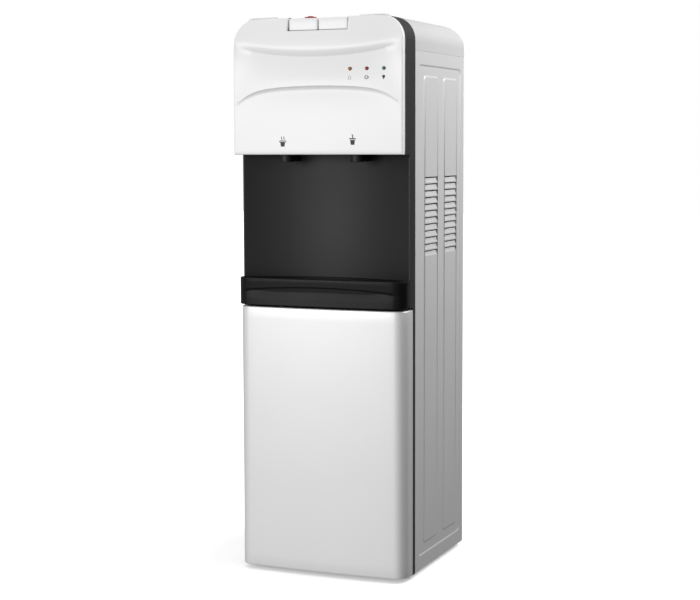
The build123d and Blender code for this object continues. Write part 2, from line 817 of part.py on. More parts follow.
# ---------------------------------------------------------------- bottle seat
def make_bottle_seat():
    top = cover_top_z
    low = top - 30
    neck = top - guard_depth + 40
    w = seat_wall
    with BuildPart() as seat:
        with BuildSketch(Plane.XZ.offset(-seat_y)):
            with BuildLine():
                Polyline((seat_inner, top + seat_lip), (seat_radius, top + seat_lip), (seat_radius, top),
                         (seat_inner + w, top), (seat_inner + w, low - w), (guard_radius + w, neck - w),
                         (guard_radius + w, neck - 14), (guard_radius, neck - 14), (guard_radius, neck),
                         (seat_inner, low), close=True)
            make_face()
        revolve(axis=Axis((0, seat_y, 0), (0, 0, 1)))
        edge = seat.edges().filter_by(GeomType.CIRCLE).group_by(Axis.Z)[-1].sort_by(SortBy.RADIUS)[-1]
        fillet(edge, seat_lip * 0.6)
    return seat


def make_bottle_guard():
    floor = guard_floor_z
    rim = cover_top_z - guard_depth + 40 - 14
    inner = guard_radius - thin_shell
    with BuildPart() as guard:
        rod(0, seat_y, floor, rim, guard_radius + seat_wall)
        rod(0, seat_y, floor + thin_shell, rim + 1, inner, Mode.SUBTRACT)
        rod(0, seat_y, floor, floor + probe_height - 6, probe_radius)
        with Locations((0, seat_y, floor + probe_height - 3)):
            Cone(probe_radius, probe_radius - 3, 6)
        rod(0, seat_y, floor - 5, floor + probe_height - 10, probe_radius - 3, Mode.SUBTRACT)
        for s in (-1, 1):
            rod_along_x(seat_y, floor + probe_height - 16, s * 4, s * (probe_radius + 2), 2.5, Mode.SUBTRACT)
    return guard


# ---------------------------------------------------------------- buttons and taps
def make_button(side):
    """side is -1 for the hot button on the left and 1 for the cold button on the right."""
    near = side * button_gap / 2
    far = side * (button_gap / 2 + button_width)
    x0, x1 = min(near, far), max(near, far)
    w = button_wall
    with BuildPart() as button:
        box(x0, x1, button_face_y, button_rear_y, button_low_z + 0.8, button_top_z)
        edges = button.edges().filter_by(Axis.X).group_by(Axis.Z)[-1]
        fillet(edges.sort_by(Axis.Y)[0], 2)
        box(x0 + w, x1 - w, button_face_y + w, button_rear_y + 1, button_low_z - 1, button_top_z - w,
            mode=Mode.SUBTRACT)
        box(x0 - 1, x1 + 1, button_face_y + 8, button_rear_y + 1, button_low_z - 1, pivot_z - 5,
            mode=Mode.SUBTRACT)
        rod_along_x(pivot_y, pivot_z, x0 - 1, x1 + 1, pivot_radius + running, Mode.SUBTRACT)
        if side < 0:
            middle = lock_x
            box(middle - 3 - slide_gap, middle + 3 + slide_gap, lock_y - 3 - slide_gap,
                lock_y + 3 + lock_travel + slide_gap, button_top_z - w - 1, button_top_z + 1,
                mode=Mode.SUBTRACT)
    return button


def make_child_lock():
    z0 = button_top_z + 0.1
    with BuildPart() as lock:
        box(lock_x - lock_width / 2, lock_x + lock_width / 2, lock_y - 6, lock_y + 6, z0, z0 + 1.1)
        box(lock_x - lock_knob_width / 2, lock_x + lock_knob_width / 2, lock_y - 3.5, lock_y + 3.5,
            z0 + 1.1, z0 + lock_height - 0.1)
        box(lock_x - 3, lock_x + 3, lock_y - 3, lock_y + 3, z0 - button_wall - 1.5, z0)
        box(lock_x - 6, lock_x + 6, lock_y - 3, lock_y + 3, z0 - button_wall - 1.5, z0 - button_wall - 0.4)
    return lock


def make_pivot_pin():
    with BuildPart() as pin:
        rod_along_x(pivot_y, pivot_z, -notch_half - 4.5, notch_half + 4.5, pivot_radius)
    return pin


def make_push_rod(side):
    """Link from the underside of a button down to its tap's stem."""
    x_rod = side * rod_offset
    x_tap = side * spout_x
    with BuildPart() as link:
        rod(x_rod, rod_y, stem_top_z, rod_head_z - rod_radius, rod_radius)
        with Locations((x_rod, rod_y, rod_head_z - rod_radius)):
            Sphere(rod_radius)
        box(min(x_rod - side * 4, x_tap + side * 8), max(x_rod - side * 4, x_tap + side * 8), rod_y - 4,
            rod_y + 4, stem_top_z, stem_top_z + 4)
        box(x_tap - 8, x_tap + 8, spout_y - 7, max(rod_y + 4, spout_y + 7), stem_top_z, stem_top_z + 4)
        rod(x_tap, spout_y, tap_top_z - 10, stem_top_z, rod_radius)
    return link


def make_spring(side):
    free = stem_top_z - tap_top_z - 2 * spring_wire
    pitch = free / spring_turns
    base = tap_top_z + spring_wire
    with BuildPart() as spring:
        with BuildLine(Plane.XY.offset(base)) as route:
            Helix(pitch=pitch, height=free, radius=spring_radius)
        with BuildSketch(Plane(origin=route.line @ 0, z_dir=route.line % 0)):
            Circle(spring_wire)
        sweep(path=route.line, is_frenet=True)
    spring.part.locate(Location((side * spout_x, spout_y, 0)) * spring.part.location)
    return spring


def make_tap(side):
    x = side * spout_x
    with BuildPart() as tap:
        rod(x, spout_y, tap_z, tap_top_z, tap_radius)
        box(x - 9, x + 9, spout_y, spout_y + 20, tap_z, tap_top_z - 6)
        rod_along_y(x, tap_inlet_z, spout_y, hood_y + 44, hose_radius + 1)
        rod(x, spout_y, tap_top_z - 15, tap_top_z + 1, rod_radius + running, Mode.SUBTRACT)
    return tap


def make_spout(side):
    x = side * spout_x
    with BuildPart() as spout:
        rod(x, spout_y, spout_z, tap_z, spout_radius)
        edge = spout.edges().filter_by(GeomType.CIRCLE).group_by(Axis.Z)[0]
        fillet(edge, 1)
        box(x - arm_width / 2, x + arm_width / 2, spout_y, arm_end_y, spout_z + 1, tap_z)
        rod(x, spout_y, spout_z - 1, tap_z - 8, spout_bore, Mode.SUBTRACT)
    return spout


# ---------------------------------------------------------------- water system
def make_cold_tank():
    r = cold_tank_radius
    low, high = cold_floor_z, cold_floor_z + cold_tank_height
    with BuildPart() as tank:
        rod(0, seat_y, low, high, r)
        rod(0, seat_y, low + tank_wall, high + 1, r - tank_wall, Mode.SUBTRACT)
        rod(0, seat_y, high, high + 4, r)
        rod(0, seat_y, high - 1, high + 5, r - 12, Mode.SUBTRACT)
        stub_start = seat_y - sqrt(r**2 - spout_x**2) + 2
        rod_along_y(spout_x, cold_floor_z + 20, seat_y - insulation_radius * 0.8, stub_start, hose_radius)
    return tank


def make_evaporator_coil():
    ring = cold_tank_radius + coil_tube
    with BuildPart() as coil:
        for i in range(coil_turns):
            with Locations((0, seat_y, cold_floor_z + 42 + i * coil_pitch)):
                Torus(ring, coil_tube - 0.05)
    return coil


def make_cold_insulation():
    inner = insulation_bore
    low = cold_floor_z - insulation
    with BuildPart() as foam:
        rod(0, seat_y, low, cold_floor_z + cold_tank_height, insulation_radius)
        rod(0, seat_y, cold_floor_z, cold_floor_z + cold_tank_height + 1, inner, Mode.SUBTRACT)
        rod_along_y(spout_x, cold_floor_z + 20, seat_y - insulation_radius - 1, seat_y,
                    hose_radius + 0.3, Mode.SUBTRACT)
        rod(feed_x, hot_y, low - 1, cold_floor_z + 1, hose_radius + 0.3, Mode.SUBTRACT)
        rod(cold_drain_x, seat_y + 30, low - 1, cold_floor_z + 1, hose_radius + 0.3, Mode.SUBTRACT)
    return foam



def make_tank_bracket():
    y0 = seat_y - 60
    bench_half = skin_x - panel_fold - fit_gap
    with BuildPart() as bracket:
        box(-bench_half, bench_half, y0, rear_y - sheet, bracket_z, bracket_z + sheet)
        for s in (-1, 1):
            box(s * (bench_half - sheet), s * bench_half, rear_y - 60, rear_y - sheet, deck_z + sheet,
                bracket_z)
            box(s * (bench_half - sheet), s * bench_half, y0, y0 + 20, deck_z + sheet, bracket_z)
        rod(feed_x, hot_y, bracket_z - 1, bracket_z + 4, hose_radius + 1, Mode.SUBTRACT)
        rod(cold_drain_x, seat_y + 30, bracket_z - 1, bracket_z + 4, hose_radius + 1, Mode.SUBTRACT)
    return bracket


def make_tank_deck():
    with BuildPart() as deck:
        box(-skin_x, skin_x, panel_y + 16, rear_y - 2 * sheet, deck_z, deck_z + sheet)
    return deck


def make_hot_tank():
    r = hot_tank_radius
    with BuildPart() as tank:
        rod(hot_x, hot_y, hot_z, hot_z + hot_height, r)
        fillet(tank.edges().filter_by(GeomType.CIRCLE), tank_wall)
        rod(hot_x, hot_y, hot_z + tank_wall, hot_z + hot_height - tank_wall, r - tank_wall,
            Mode.SUBTRACT)
        rod(hot_x, hot_y, hot_z + hot_height - 5, hot_z + hot_height + 1, 3, Mode.SUBTRACT)
    return tank


def make_heater_band():
    r = hot_tank_radius
    with BuildPart() as band:
        rod(hot_x, hot_y, hot_z + 40, hot_z + 95, r + heater_thickness - 0.1)
        rod(hot_x, hot_y, hot_z + 39, hot_z + 96, r + 0.05, Mode.SUBTRACT)
    return band


def make_hot_jacket():
    r = hot_tank_radius + heater_thickness
    with BuildPart() as foam:
        rod(hot_x, hot_y, hot_z - 5, hot_z + hot_height + jacket, jacket_radius)
        rod(hot_x, hot_y, hot_z - 0.05, hot_z + hot_height + 0.05, r, Mode.SUBTRACT)
        rod(hot_x, hot_y, hot_z + hot_height, hot_z + hot_height + jacket + 1,
            hose_radius + 0.2, Mode.SUBTRACT)
        rod_along_x(hot_y, drain_z_hot, hot_x, hot_x + jacket_radius + 1, hose_radius + 0.2, Mode.SUBTRACT)
        rod_along_y(hot_x, drain_z_hot, hot_y, hot_y + jacket_radius + 1, hose_radius + 0.2, Mode.SUBTRACT)
    return foam


def make_hot_hose():
    top = hot_z + hot_height
    over = top + jacket + hose_rise
    tap_end = hood_y + 44
    return hose([(hot_x, hot_y, top), (hot_x, hot_y, over), (-spout_x, hose_y, over),
                 (-spout_x, hose_y, tap_inlet_z), (-spout_x, tap_end, tap_inlet_z)],
                hose_radius, hose_bend * 0.5)


def make_cold_hose():
    start = seat_y - insulation_radius * 0.8
    tap_end = hood_y + 44
    z = cold_floor_z + 20
    return hose([(spout_x, start, z), (spout_x, hose_y, z), (spout_x, hose_y, tap_inlet_z),
                 (spout_x, tap_end, tap_inlet_z)], hose_radius, hose_bend * 0.5)


def make_feed_hose():
    return hose([(feed_x, hot_y, cold_floor_z), (feed_x, hot_y, drain_z_hot),
                 (hot_x + hot_tank_radius, hot_y, drain_z_hot)], hose_radius, hose_bend)


def make_drain_outlets():
    with BuildPart() as outlets:
        for x, z in ((hot_x, drain_z_hot), (cold_drain_x, drain_z_cold)):
            rod_along_y(x, z, rear_y - 4, rear_y + drain_reach, drain_radius)
            rod_along_y(x, z, rear_y - 4, rear_y - sheet, drain_radius + 4)
        rod_along_y(hot_x, drain_z_hot, hot_y + hot_tank_radius, rear_y - 4, hose_radius)
        with BuildLine() as route:
            FilletPolyline((cold_drain_x, seat_y + 30, cold_floor_z),
                           (cold_drain_x, seat_y + 30, drain_z_cold),
                           (cold_drain_x, rear_y - 3, drain_z_cold), radius=hose_bend)
        with BuildSketch(Plane.XY.offset(cold_floor_z)):
            with Locations((cold_drain_x, seat_y + 30)):
                Circle(hose_radius)
        sweep(path=route.line)
        for x, z in ((hot_x, drain_z_hot), (cold_drain_x, drain_z_cold)):
            rod_along_y(x, z, rear_y - 2, rear_y + drain_reach + 1, drain_bore, Mode.SUBTRACT)
    return outlets


def make_drain_cap(x, z):
    y1 = rear_y + drain_reach + 3
    with BuildPart() as cap:
        rod_along_y(x, z, y1 - cap_length, y1, cap_radius)
        for i in range(12):
            a = radians(i * 30)
            rod_along_y(x + (cap_radius + 0.3) * cos(a), z + (cap_radius + 0.3) * sin(a),
                        y1 - cap_length - 1, y1 + 1, 1.2, Mode.SUBTRACT)
        rod_along_y(x, z, y1 - cap_length - 1, y1 - 2.6, drain_radius + 0.3, Mode.SUBTRACT)
    return cap


# ---------------------------------------------------------------- cooling system
def make_compressor():
    r = compressor_radius
    z0 = compressor_z
    z1 = z0 + compressor_height
    with BuildPart() as unit:
        rod(compressor_x, compressor_y, z0 + 4, z1, r)
        circles = unit.edges().filter_by(GeomType.CIRCLE)
        fillet(circles.group_by(Axis.Z)[-1], 28)
        fillet(unit.edges().filter_by(GeomType.CIRCLE).group_by(Axis.Z)[0], 18)
        box(compressor_x - 80, compressor_x + 80, compressor_y - 40, compressor_y + 40, z0, z0 + 3)
        rod(compressor_x, compressor_y, z0, z0 + 10, 34)
        rod_along_x(compressor_y, z0 + 80, compressor_x + r - 4, compressor_x + r + 14, 12)
    return unit


def make_grommets():
    with BuildPart() as grommets:
        for sx in (-1, 1):
            for sy in (-1, 1):
                x, y = compressor_x + sx * 70, compressor_y + sy * 30
                rod(x, y, base_z + sheet, compressor_z, grommet_radius)
                rod(x, y, base_z + sheet, base_z + sheet + 3, grommet_radius + 2)
    return grommets


def make_condenser():
    r = condenser_tube
    corners = []
    for i in range(condenser_runs):
        z = condenser_z + i * condenser_pitch
        ends = (-condenser_half, condenser_half) if i % 2 == 0 else (condenser_half, -condenser_half)
        corners.append((ends[0], condenser_y, z))
        corners.append((ends[1], condenser_y, z))
    top = corners[-1][2]
    with BuildPart() as condenser:
        with BuildLine() as route:
            FilletPolyline(*corners, radius=condenser_pitch * 0.45)
        with BuildSketch(Plane(origin=corners[0], z_dir=(1, 0, 0))):
            Circle(r)
        sweep(path=route.line)
        for i in range(condenser_wires):
            x = (i / (condenser_wires - 1) * 2 - 1) * (condenser_half - 26)
            rod(x, condenser_y + r + wire_radius, condenser_z - 12, top + 12, wire_radius)
        for s in (-1, 1):
            box(s * (condenser_half - 14), s * (condenser_half - 8), rear_y, condenser_y - r,
                condenser_z - 6, condenser_z + 6)
            box(s * (condenser_half - 14), s * (condenser_half - 8), rear_y, condenser_y - r,
                top - 6, top + 6)
    return condenser


def make_refrigerant_lines():
    x0 = compressor_x + 20
    y0 = compressor_y + 16
    top = compressor_z + compressor_height
    return hose([(x0, y0, top), (x0, y0, top + 20), (pipe_x, y0, top + 20), (pipe_x, y0, pipe_in_z),
                 (pipe_x, rear_y + 8, pipe_in_z)], pipe_radius, pipe_bend)


# ---------------------------------------------------------------- storage cabinet
def make_cabinet_liner():
    half = liner_width / 2
    z0, z1 = liner_z, liner_z + liner_height
    with BuildPart() as liner:
        box(-half, half, liner_y, liner_y + liner_depth, z0, z1)
        box(-half + liner_wall, half - liner_wall, liner_y - 1, liner_y + liner_depth - liner_wall,
            z0 + liner_wall, z1 - liner_wall, mode=Mode.SUBTRACT)
        box(-inner_x + panel_fold + 1, inner_x - panel_fold - 1, liner_y, liner_y + liner_wall,
            base_z + 24, z0)
    return liner


def make_control_board():
    x, y, z = half_width - 80, panel_y + 150, deck_z + sheet
    with BuildPart() as board:
        for dx in (-38, 38):
            for dy in (-26, 26):
                rod(x + dx, y + dy, z, z + 8, 3)
        box(x - 45, x + 45, y - 32, y + 32, z + 8, z + 9.6)
        box(x - 36, x - 6, y - 24, y + 4, z + 9.6, z + 34)
        box(x + 4, x + 20, y - 22, y - 8, z + 9.6, z + 24)
        box(x + 24, x + 38, y - 22, y - 8, z + 9.6, z + 24)
        box(x + 2, x + 38, y + 14, y + 24, z + 9.6, z + 20)
        rod(x - 20, y + 16, z + 9.6, z + 30, 7)
    return board


def make_gland():
    with BuildPart() as gland:
        rod_along_y(gland_x, gland_z, rear_y - gland_length + 6, rear_y + 6, gland_radius)
        rod_along_y(gland_x, gland_z, rear_y, rear_y + 2.5, gland_radius + 3)
        rod_along_y(gland_x, gland_z, rear_y - gland_length, rear_y + 7, gland_bore, Mode.SUBTRACT)
    return gland


def make_switch_housing():
    y0 = rear_y - 16
    with BuildPart() as housing:
        box(switch_x - switch_width / 2, switch_x + switch_width / 2, y0, rear_y,
            switch_z - switch_height / 2, switch_z + switch_height / 2)
        box(switch_x - switch_width / 2 - 2.5, switch_x + switch_width / 2 + 2.5, rear_y, rear_y + 2,
            switch_z - switch_height / 2 - 2.5, switch_z + switch_height / 2 + 2.5)
        for s in (-1, 1):
            x = switch_x + s * rocker_pitch / 2
            w = rocker_width / 2 + slide_gap
            rod_along_x(rear_y - 1.5, switch_z, x - w, x + w, rocker_radius + slide_gap, Mode.SUBTRACT)
            rod_along_x(rear_y - 1.5, switch_z, x - w - 1.6, x + w + 1.6, 1.5 + running, Mode.SUBTRACT)
    return housing


def make_rocker(side):
    x = switch_x + side * rocker_pitch / 2
    y = rear_y - 1.5
    w = rocker_width / 2
    with BuildPart() as rocker:
        rod_along_x(y, switch_z, x - w, x + w, rocker_radius)
        with Locations(Location((x, y, switch_z), (rocker_tilt, 0, 0))):
            with Locations((0, rocker_depth + 20, 0)):
                Box(rocker_width + 2, 40, 60, mode=Mode.SUBTRACT)
        rod_along_x(y, switch_z, x - w - 1.4, x + w + 1.4, 1.5)
    return rocker


# ---------------------------------------------------------------- build and write
keep("base_pan", make_base_pan())
keep("feet", make_feet())
right = make_right_side_panel()
keep("right_side_panel", right)
with BuildPart() as left:
    add(right.part.mirror(Plane.YZ))
keep("left_side_panel", left)
keep("rear_panel", make_rear_panel())
keep("case_screws", make_case_screws())
keep("front_frame", make_front_frame())
keep("alcove_panel", make_alcove_panel())
keep("front_cover", make_front_cover())
keep("top_cover", make_top_cover())
for name, (x, z) in zip(("amber_lens", "red_lens", "green_lens"), lamp_places()):
    keep(name, make_lens(x, z))
keep("bottle_seat", make_bottle_seat())
keep("bottle_guard", make_bottle_guard())
for name, side in (("hot", -1), ("cold", 1)):
    keep(name + "_button", make_button(side))
    keep(name + "_push_rod", make_push_rod(side))
    keep(name + "_return_spring", make_spring(side))
    keep(name + "_tap", make_tap(side))
    keep(name + "_spout", make_spout(side))
    keep(name + "_rocker", make_rocker(side))
keep("child_lock", make_child_lock())
keep("button_pivot_pin", make_pivot_pin())
keep("drip_tray", make_drip_tray())
keep("drip_grille", make_drip_grille())
keep("tray_shelf", make_tray_shelf())
keep("door_panel", make_door_panel())
keep("door_liner", make_door_liner())
keep("upper_hinge_pin", make_upper_hinge_pin())
keep("lower_hinge", make_lower_hinge())
keep("door_magnet", make_door_magnet())
keep("cabinet_liner", make_cabinet_liner())
keep("compressor", make_compressor())
keep("compressor_grommets", make_grommets())
keep("condenser", make_condenser())
keep("delivery_pipe", make_refrigerant_lines())
keep("cold_tank", make_cold_tank())
keep("evaporator_coil", make_evaporator_coil())
keep("cold_tank_insulation", make_cold_insulation())
keep("tank_bracket", make_tank_bracket())
keep("tank_deck", make_tank_deck())
keep("hot_tank", make_hot_tank())
keep("heater_band", make_heater_band())
keep("hot_tank_jacket", make_hot_jacket())
keep("hot_water_hose", make_hot_hose())
keep("cold_water_hose", make_cold_hose())
keep("feed_hose", make_feed_hose())
keep("drain_outlets", make_drain_outlets())
keep("hot_drain_cap", make_drain_cap(hot_x, drain_z_hot))
keep("cold_drain_cap", make_drain_cap(cold_drain_x, drain_z_cold))
keep("control_board", make_control_board())
keep("cord_gland", make_gland())
keep("switch_housing", make_switch_housing())

os.makedirs("parts", exist_ok=True)
for name, piece in pieces.items():
    piece.part.label = name
    export_step(piece.part, f"parts/{name}.step")
print(len(pieces), "nodes written")
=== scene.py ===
import json
import math

import bmesh
import bpy
from mathutils import Matrix, Vector


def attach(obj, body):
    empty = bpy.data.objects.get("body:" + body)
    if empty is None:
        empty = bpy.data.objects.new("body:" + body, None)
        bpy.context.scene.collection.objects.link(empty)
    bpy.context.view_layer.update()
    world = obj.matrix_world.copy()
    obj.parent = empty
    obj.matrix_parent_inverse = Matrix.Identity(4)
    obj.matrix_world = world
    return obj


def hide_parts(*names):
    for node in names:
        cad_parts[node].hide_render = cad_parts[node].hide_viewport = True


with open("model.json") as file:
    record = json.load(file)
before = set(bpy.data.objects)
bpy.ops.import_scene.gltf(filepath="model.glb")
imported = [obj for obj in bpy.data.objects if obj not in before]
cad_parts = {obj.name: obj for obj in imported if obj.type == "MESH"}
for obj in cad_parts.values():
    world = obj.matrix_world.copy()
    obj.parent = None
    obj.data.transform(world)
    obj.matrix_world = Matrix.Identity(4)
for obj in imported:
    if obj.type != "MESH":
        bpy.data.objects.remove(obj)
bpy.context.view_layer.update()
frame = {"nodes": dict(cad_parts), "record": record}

MM = 0.001

# ---------------------------------------------------------------- sizes in mm
HALF_WIDTH = 155.0
PANEL_FRONT = -95.0
PANEL_BACK = 159.0
CASE_LOW = 8.0
DOOR_TOP = 466.3
TRAY_LOW = 469.5
TRAY_TOP = 516.5
COVER_LOW = 728.0
COVER_TOP = 958.0
SEAM = 902.0
SHOULDER = 40.0
HOOD_FRONT = -144.5
COVER_EDGE = -155.0
COVER_BOW = 4.0
NOTCH_HALF = 54.7
NOTCH_LOW = 935.7
NOTCH_RIM = -147.3
DOOR_FRONT = -145.0
DOOR_EDGE = 2.4
DOOR_WALL = 1.6
DOOR_BOW = 4.4
DOOR_CORNER = 22.0
DOOR_BACK_LEFT = -112.0
DOOR_BACK_RIGHT = -106.4
TRAY_FRONT = -152.0
TRAY_STEP = -121.6
TRAY_REAR_HALF = 150.3
TRAY_REAR_MIDDLE = -89.8
TRAY_EDGE = 1.4
TRAY_LIFT = 474.2
TRAY_BROW = 503.7


# ---------------------------------------------------------------- materials
def node_material(name):
    material = bpy.data.materials.new(name)
    material.use_nodes = True
    tree = material.node_tree
    shader = tree.nodes["Principled BSDF"]
    coords = tree.nodes.new("ShaderNodeTexCoord")
    return material, tree, shader, coords.outputs["Object"]


def noise(tree, coords, scale, detail=4.0, rough=0.5, stretch=None):
    if stretch is not None:
        mapping = tree.nodes.new("ShaderNodeMapping")
        mapping.inputs["Scale"].default_value = stretch
        tree.links.new(coords, mapping.inputs["Vector"])
        coords = mapping.outputs["Vector"]
    node = tree.nodes.new("ShaderNodeTexNoise")
    node.inputs["Scale"].default_value = scale
    node.inputs["Detail"].default_value = detail
    node.inputs["Roughness"].default_value = rough
    tree.links.new(coords, node.inputs["Vector"])
    return node.outputs["Fac"]


def ramp(tree, value, low, high, to_low, to_high):
    node = tree.nodes.new("ShaderNodeMapRange")
    node.inputs["From Min"].default_value = low
    node.inputs["From Max"].default_value = high
    node.inputs["To Min"].default_value = to_low
    node.inputs["To Max"].default_value = to_high
    tree.links.new(value, node.inputs["Value"])
    return node.outputs["Result"]


def tint(tree, value, dark, light):
    node = tree.nodes.new("ShaderNodeMix")
    node.data_type = "RGBA"
    node.inputs["A"].default_value = (*dark, 1)
    node.inputs["B"].default_value = (*light, 1)
    tree.links.new(value, node.inputs["Factor"])
    return node.outputs["Result"]


def maths(tree, operation, a, b):
    node = tree.nodes.new("ShaderNodeMath")
    node.operation = operation
    for socket, value in zip(node.inputs, (a, b)):
        if isinstance(value, (int, float)):
            socket.default_value = value
        else:
            tree.links.new(value, socket)
    return node.outputs["Value"]


def bump(tree, shader, height, strength, distance):
    node = tree.nodes.new("ShaderNodeBump")
    node.inputs["Strength"].default_value = strength
    node.inputs["Distance"].default_value = distance
    tree.links.new(height, node.inputs["Height"])
    tree.links.new(node.outputs["Normal"], shader.inputs["Normal"])


def moulded(name, color, rough=0.4, spread=0.04, grain=900.0, grain_depth=0.00004, strength=0.25,
            metallic=0.0, coat=0.0, coat_rough=0.1, rough_spread=0.06, stretch=None, ior=1.5):
    """Plastic, paint, rubber or metal: cloudy tint, fine grain in colour, roughness and bump."""
    material, tree, shader, coords = node_material(name)
    cloud = noise(tree, coords, 7.0, 3.0)
    speck = noise(tree, coords, grain, 2.0, 0.6, stretch)
    mixed = maths(tree, "ADD", maths(tree, "MULTIPLY", cloud, 0.6), maths(tree, "MULTIPLY", speck, 0.4))
    dark = [c * (1 - spread) for c in color]
    light = [min(1.0, c * (1 + spread)) for c in color]
    tree.links.new(tint(tree, ramp(tree, mixed, 0.3, 0.7, 0, 1), dark, light),
                   shader.inputs["Base Color"])
    tree.links.new(ramp(tree, mixed, 0.3, 0.7, max(0.02, rough - rough_spread), rough + rough_spread),
                   shader.inputs["Roughness"])
    bump(tree, shader, speck, strength, grain_depth)
    shader.inputs["Metallic"].default_value = metallic
    shader.inputs["Coat Weight"].default_value = coat
    shader.inputs["Coat Roughness"].default_value = coat_rough
    shader.inputs["IOR"].default_value = ior
    return material


def flake_paint(name, color, rough, metallic, flake=2600.0, spread=0.06, coat=0.3):
    """Silver paint with fine flakes under a thin clear coat."""
    material, tree, shader, coords = node_material(name)
    cells = tree.nodes.new("ShaderNodeTexVoronoi")
    cells.inputs["Scale"].default_value = flake
    tree.links.new(coords, cells.inputs["Vector"])
    value = tree.nodes.new("ShaderNodeSeparateColor")
    tree.links.new(cells.outputs["Color"], value.inputs["Color"])
    cloud = noise(tree, coords, 4.0, 2.0)
    mixed = maths(tree, "ADD", maths(tree, "MULTIPLY", value.outputs["Red"], 0.5),
                  maths(tree, "MULTIPLY", cloud, 0.5))
    dark = [c * (1 - spread) for c in color]
    light = [min(1.0, c * (1 + spread)) for c in color]
    tree.links.new(tint(tree, mixed, dark, light), shader.inputs["Base Color"])
    tree.links.new(ramp(tree, mixed, 0, 1, rough - 0.05, rough + 0.05), shader.inputs["Roughness"])
    peel = noise(tree, coords, 260.0, 2.0)
    bump(tree, shader, peel, 0.12, 0.00004)
    shader.inputs["Metallic"].default_value = metallic
    shader.inputs["Coat Weight"].default_value = coat
    shader.inputs["Coat Roughness"].default_value = 0.12
    return material


def spangle_steel(name):
    """Zinc-coated sheet with its flat crystals."""
    material, tree, shader, coords = node_material(name)
    cells = tree.nodes.new("ShaderNodeTexVoronoi")
    cells.inputs["Scale"].default_value = 90.0
    tree.links.new(coords, cells.inputs["Vector"])
    value = tree.nodes.new("ShaderNodeSeparateColor")
    tree.links.new(cells.outputs["Color"], value.inputs["Color"])
    haze = noise(tree, coords, 30.0, 4.0)
    mixed = maths(tree, "ADD", maths(tree, "MULTIPLY", value.outputs["Green"], 0.55),
                  maths(tree, "MULTIPLY", haze, 0.45))
    tree.links.new(tint(tree, mixed, (0.30, 0.31, 0.32), (0.56, 0.57, 0.58)),
                   shader.inputs["Base Color"])
    tree.links.new(ramp(tree, value.outputs["Blue"], 0, 1, 0.32, 0.55), shader.inputs["Roughness"])
    bump(tree, shader, noise(tree, coords, 400.0), 0.1, 0.00004)
    shader.inputs["Metallic"].default_value = 0.85
    return material


def board_material(name):
    """Lacquered circuit board with traces."""
    material, tree, shader, coords = node_material(name)
    brick = tree.nodes.new("ShaderNodeTexBrick")
    brick.inputs["Scale"].default_value = 160.0
    brick.inputs["Mortar Size"].default_value = 0.03
    brick.inputs["Color1"].default_value = (0.015, 0.13, 0.05, 1)
    brick.inputs["Color2"].default_value = (0.02, 0.17, 0.07, 1)
    brick.inputs["Mortar"].default_value = (0.30, 0.33, 0.12, 1)
    tree.links.new(coords, brick.inputs["Vector"])
    tree.links.new(brick.outputs["Color"], shader.inputs["Base Color"])
    tree.links.new(ramp(tree, noise(tree, coords, 300.0), 0, 1, 0.2, 0.5), shader.inputs["Roughness"])
    bump(tree, shader, brick.outputs["Fac"], 0.2, 0.0001)
    return material


def foam_material(name, color):
    """Beaded foam."""
    material, tree, shader, coords = node_material(name)
    cells = tree.nodes.new("ShaderNodeTexVoronoi")
    cells.inputs["Scale"].default_value = 320.0
    tree.links.new(coords, cells.inputs["Vector"])
    cloud = noise(tree, coords, 20.0)
    dark = [c * 0.86 for c in color]
    tree.links.new(tint(tree, ramp(tree, cells.outputs["Distance"], 0, 0.6, 1, 0), dark, color),
                   shader.inputs["Base Color"])
    tree.links.new(ramp(tree, cloud, 0, 1, 0.7, 0.95), shader.inputs["Roughness"])
    bump(tree, shader, cells.outputs["Distance"], -0.4, 0.0004)
    return material


white_plastic = moulded("white_gloss_shell", (0.86, 0.86, 0.86), 0.34, 0.015, 1400, 0.00002, 0.12,
                        rough_spread=0.03, coat=0.15, coat_rough=0.18)
grey_plastic = moulded("light_grey_shell", (0.54, 0.54, 0.54), 0.42, 0.03, 1300, 0.00005, 0.35)
black_plastic = moulded("black_satin_shell", (0.010, 0.010, 0.0105), 0.44, 0.2, 1500, 0.00006, 0.4,
                        ior=1.36)
black_paint = moulded("black_enamel", (0.015, 0.015, 0.015), 0.25, 0.15, 500, 0.00006, 0.3, coat=0.4)
white_matte = moulded("white_inner_moulding", (0.74, 0.74, 0.72), 0.5, 0.04, 800, 0.00006, 0.3)
red_plastic = moulded("red_gloss", (0.36, 0.002, 0.004), 0.45, 0.12, 900, 0.00003, 0.2, ior=1.4)
green_plastic = moulded("green_gloss", (0.015, 0.27, 0.06), 0.25, 0.12, 900, 0.00003, 0.2, coat=0.4)
black_gloss = moulded("black_gloss_shell", (0.004, 0.004, 0.004), 0.34, 0.2, 1500, 0.00004,
                      0.3, ior=1.22)
rubber = moulded("black_rubber", (0.022, 0.022, 0.022), 0.75, 0.2, 600, 0.0001, 0.5)
silicone = moulded("silicone_hose", (0.72, 0.72, 0.68), 0.45, 0.05, 500, 0.00005, 0.3)
copper = moulded("drawn_copper", (0.72, 0.33, 0.18), 0.3, 0.12, 300, 0.00004, 0.3, metallic=1.0,
                 rough_spread=0.12)
plated = moulded("plated_steel", (0.60, 0.60, 0.61), 0.3, 0.08, 400, 0.00003, 0.3, metallic=1.0,
                 stretch=(1, 8, 1))
brushed = moulded("brushed_tank_steel", (0.62, 0.62, 0.62), 0.32, 0.1, 350, 0.00004, 0.35, metallic=1.0,
                  stretch=(1, 1, 14))
panel_paint = flake_paint("panel_silver_paint", (0.66, 0.66, 0.66), 0.42, 0.2)
front_paint = flake_paint("front_silver_lacquer", (0.80, 0.80, 0.81), 0.46, 0.5)
zinc = spangle_steel("zinc_sheet")
board = board_material("circuit_board")
foam = foam_material("bead_foam", (0.82, 0.80, 0.74))


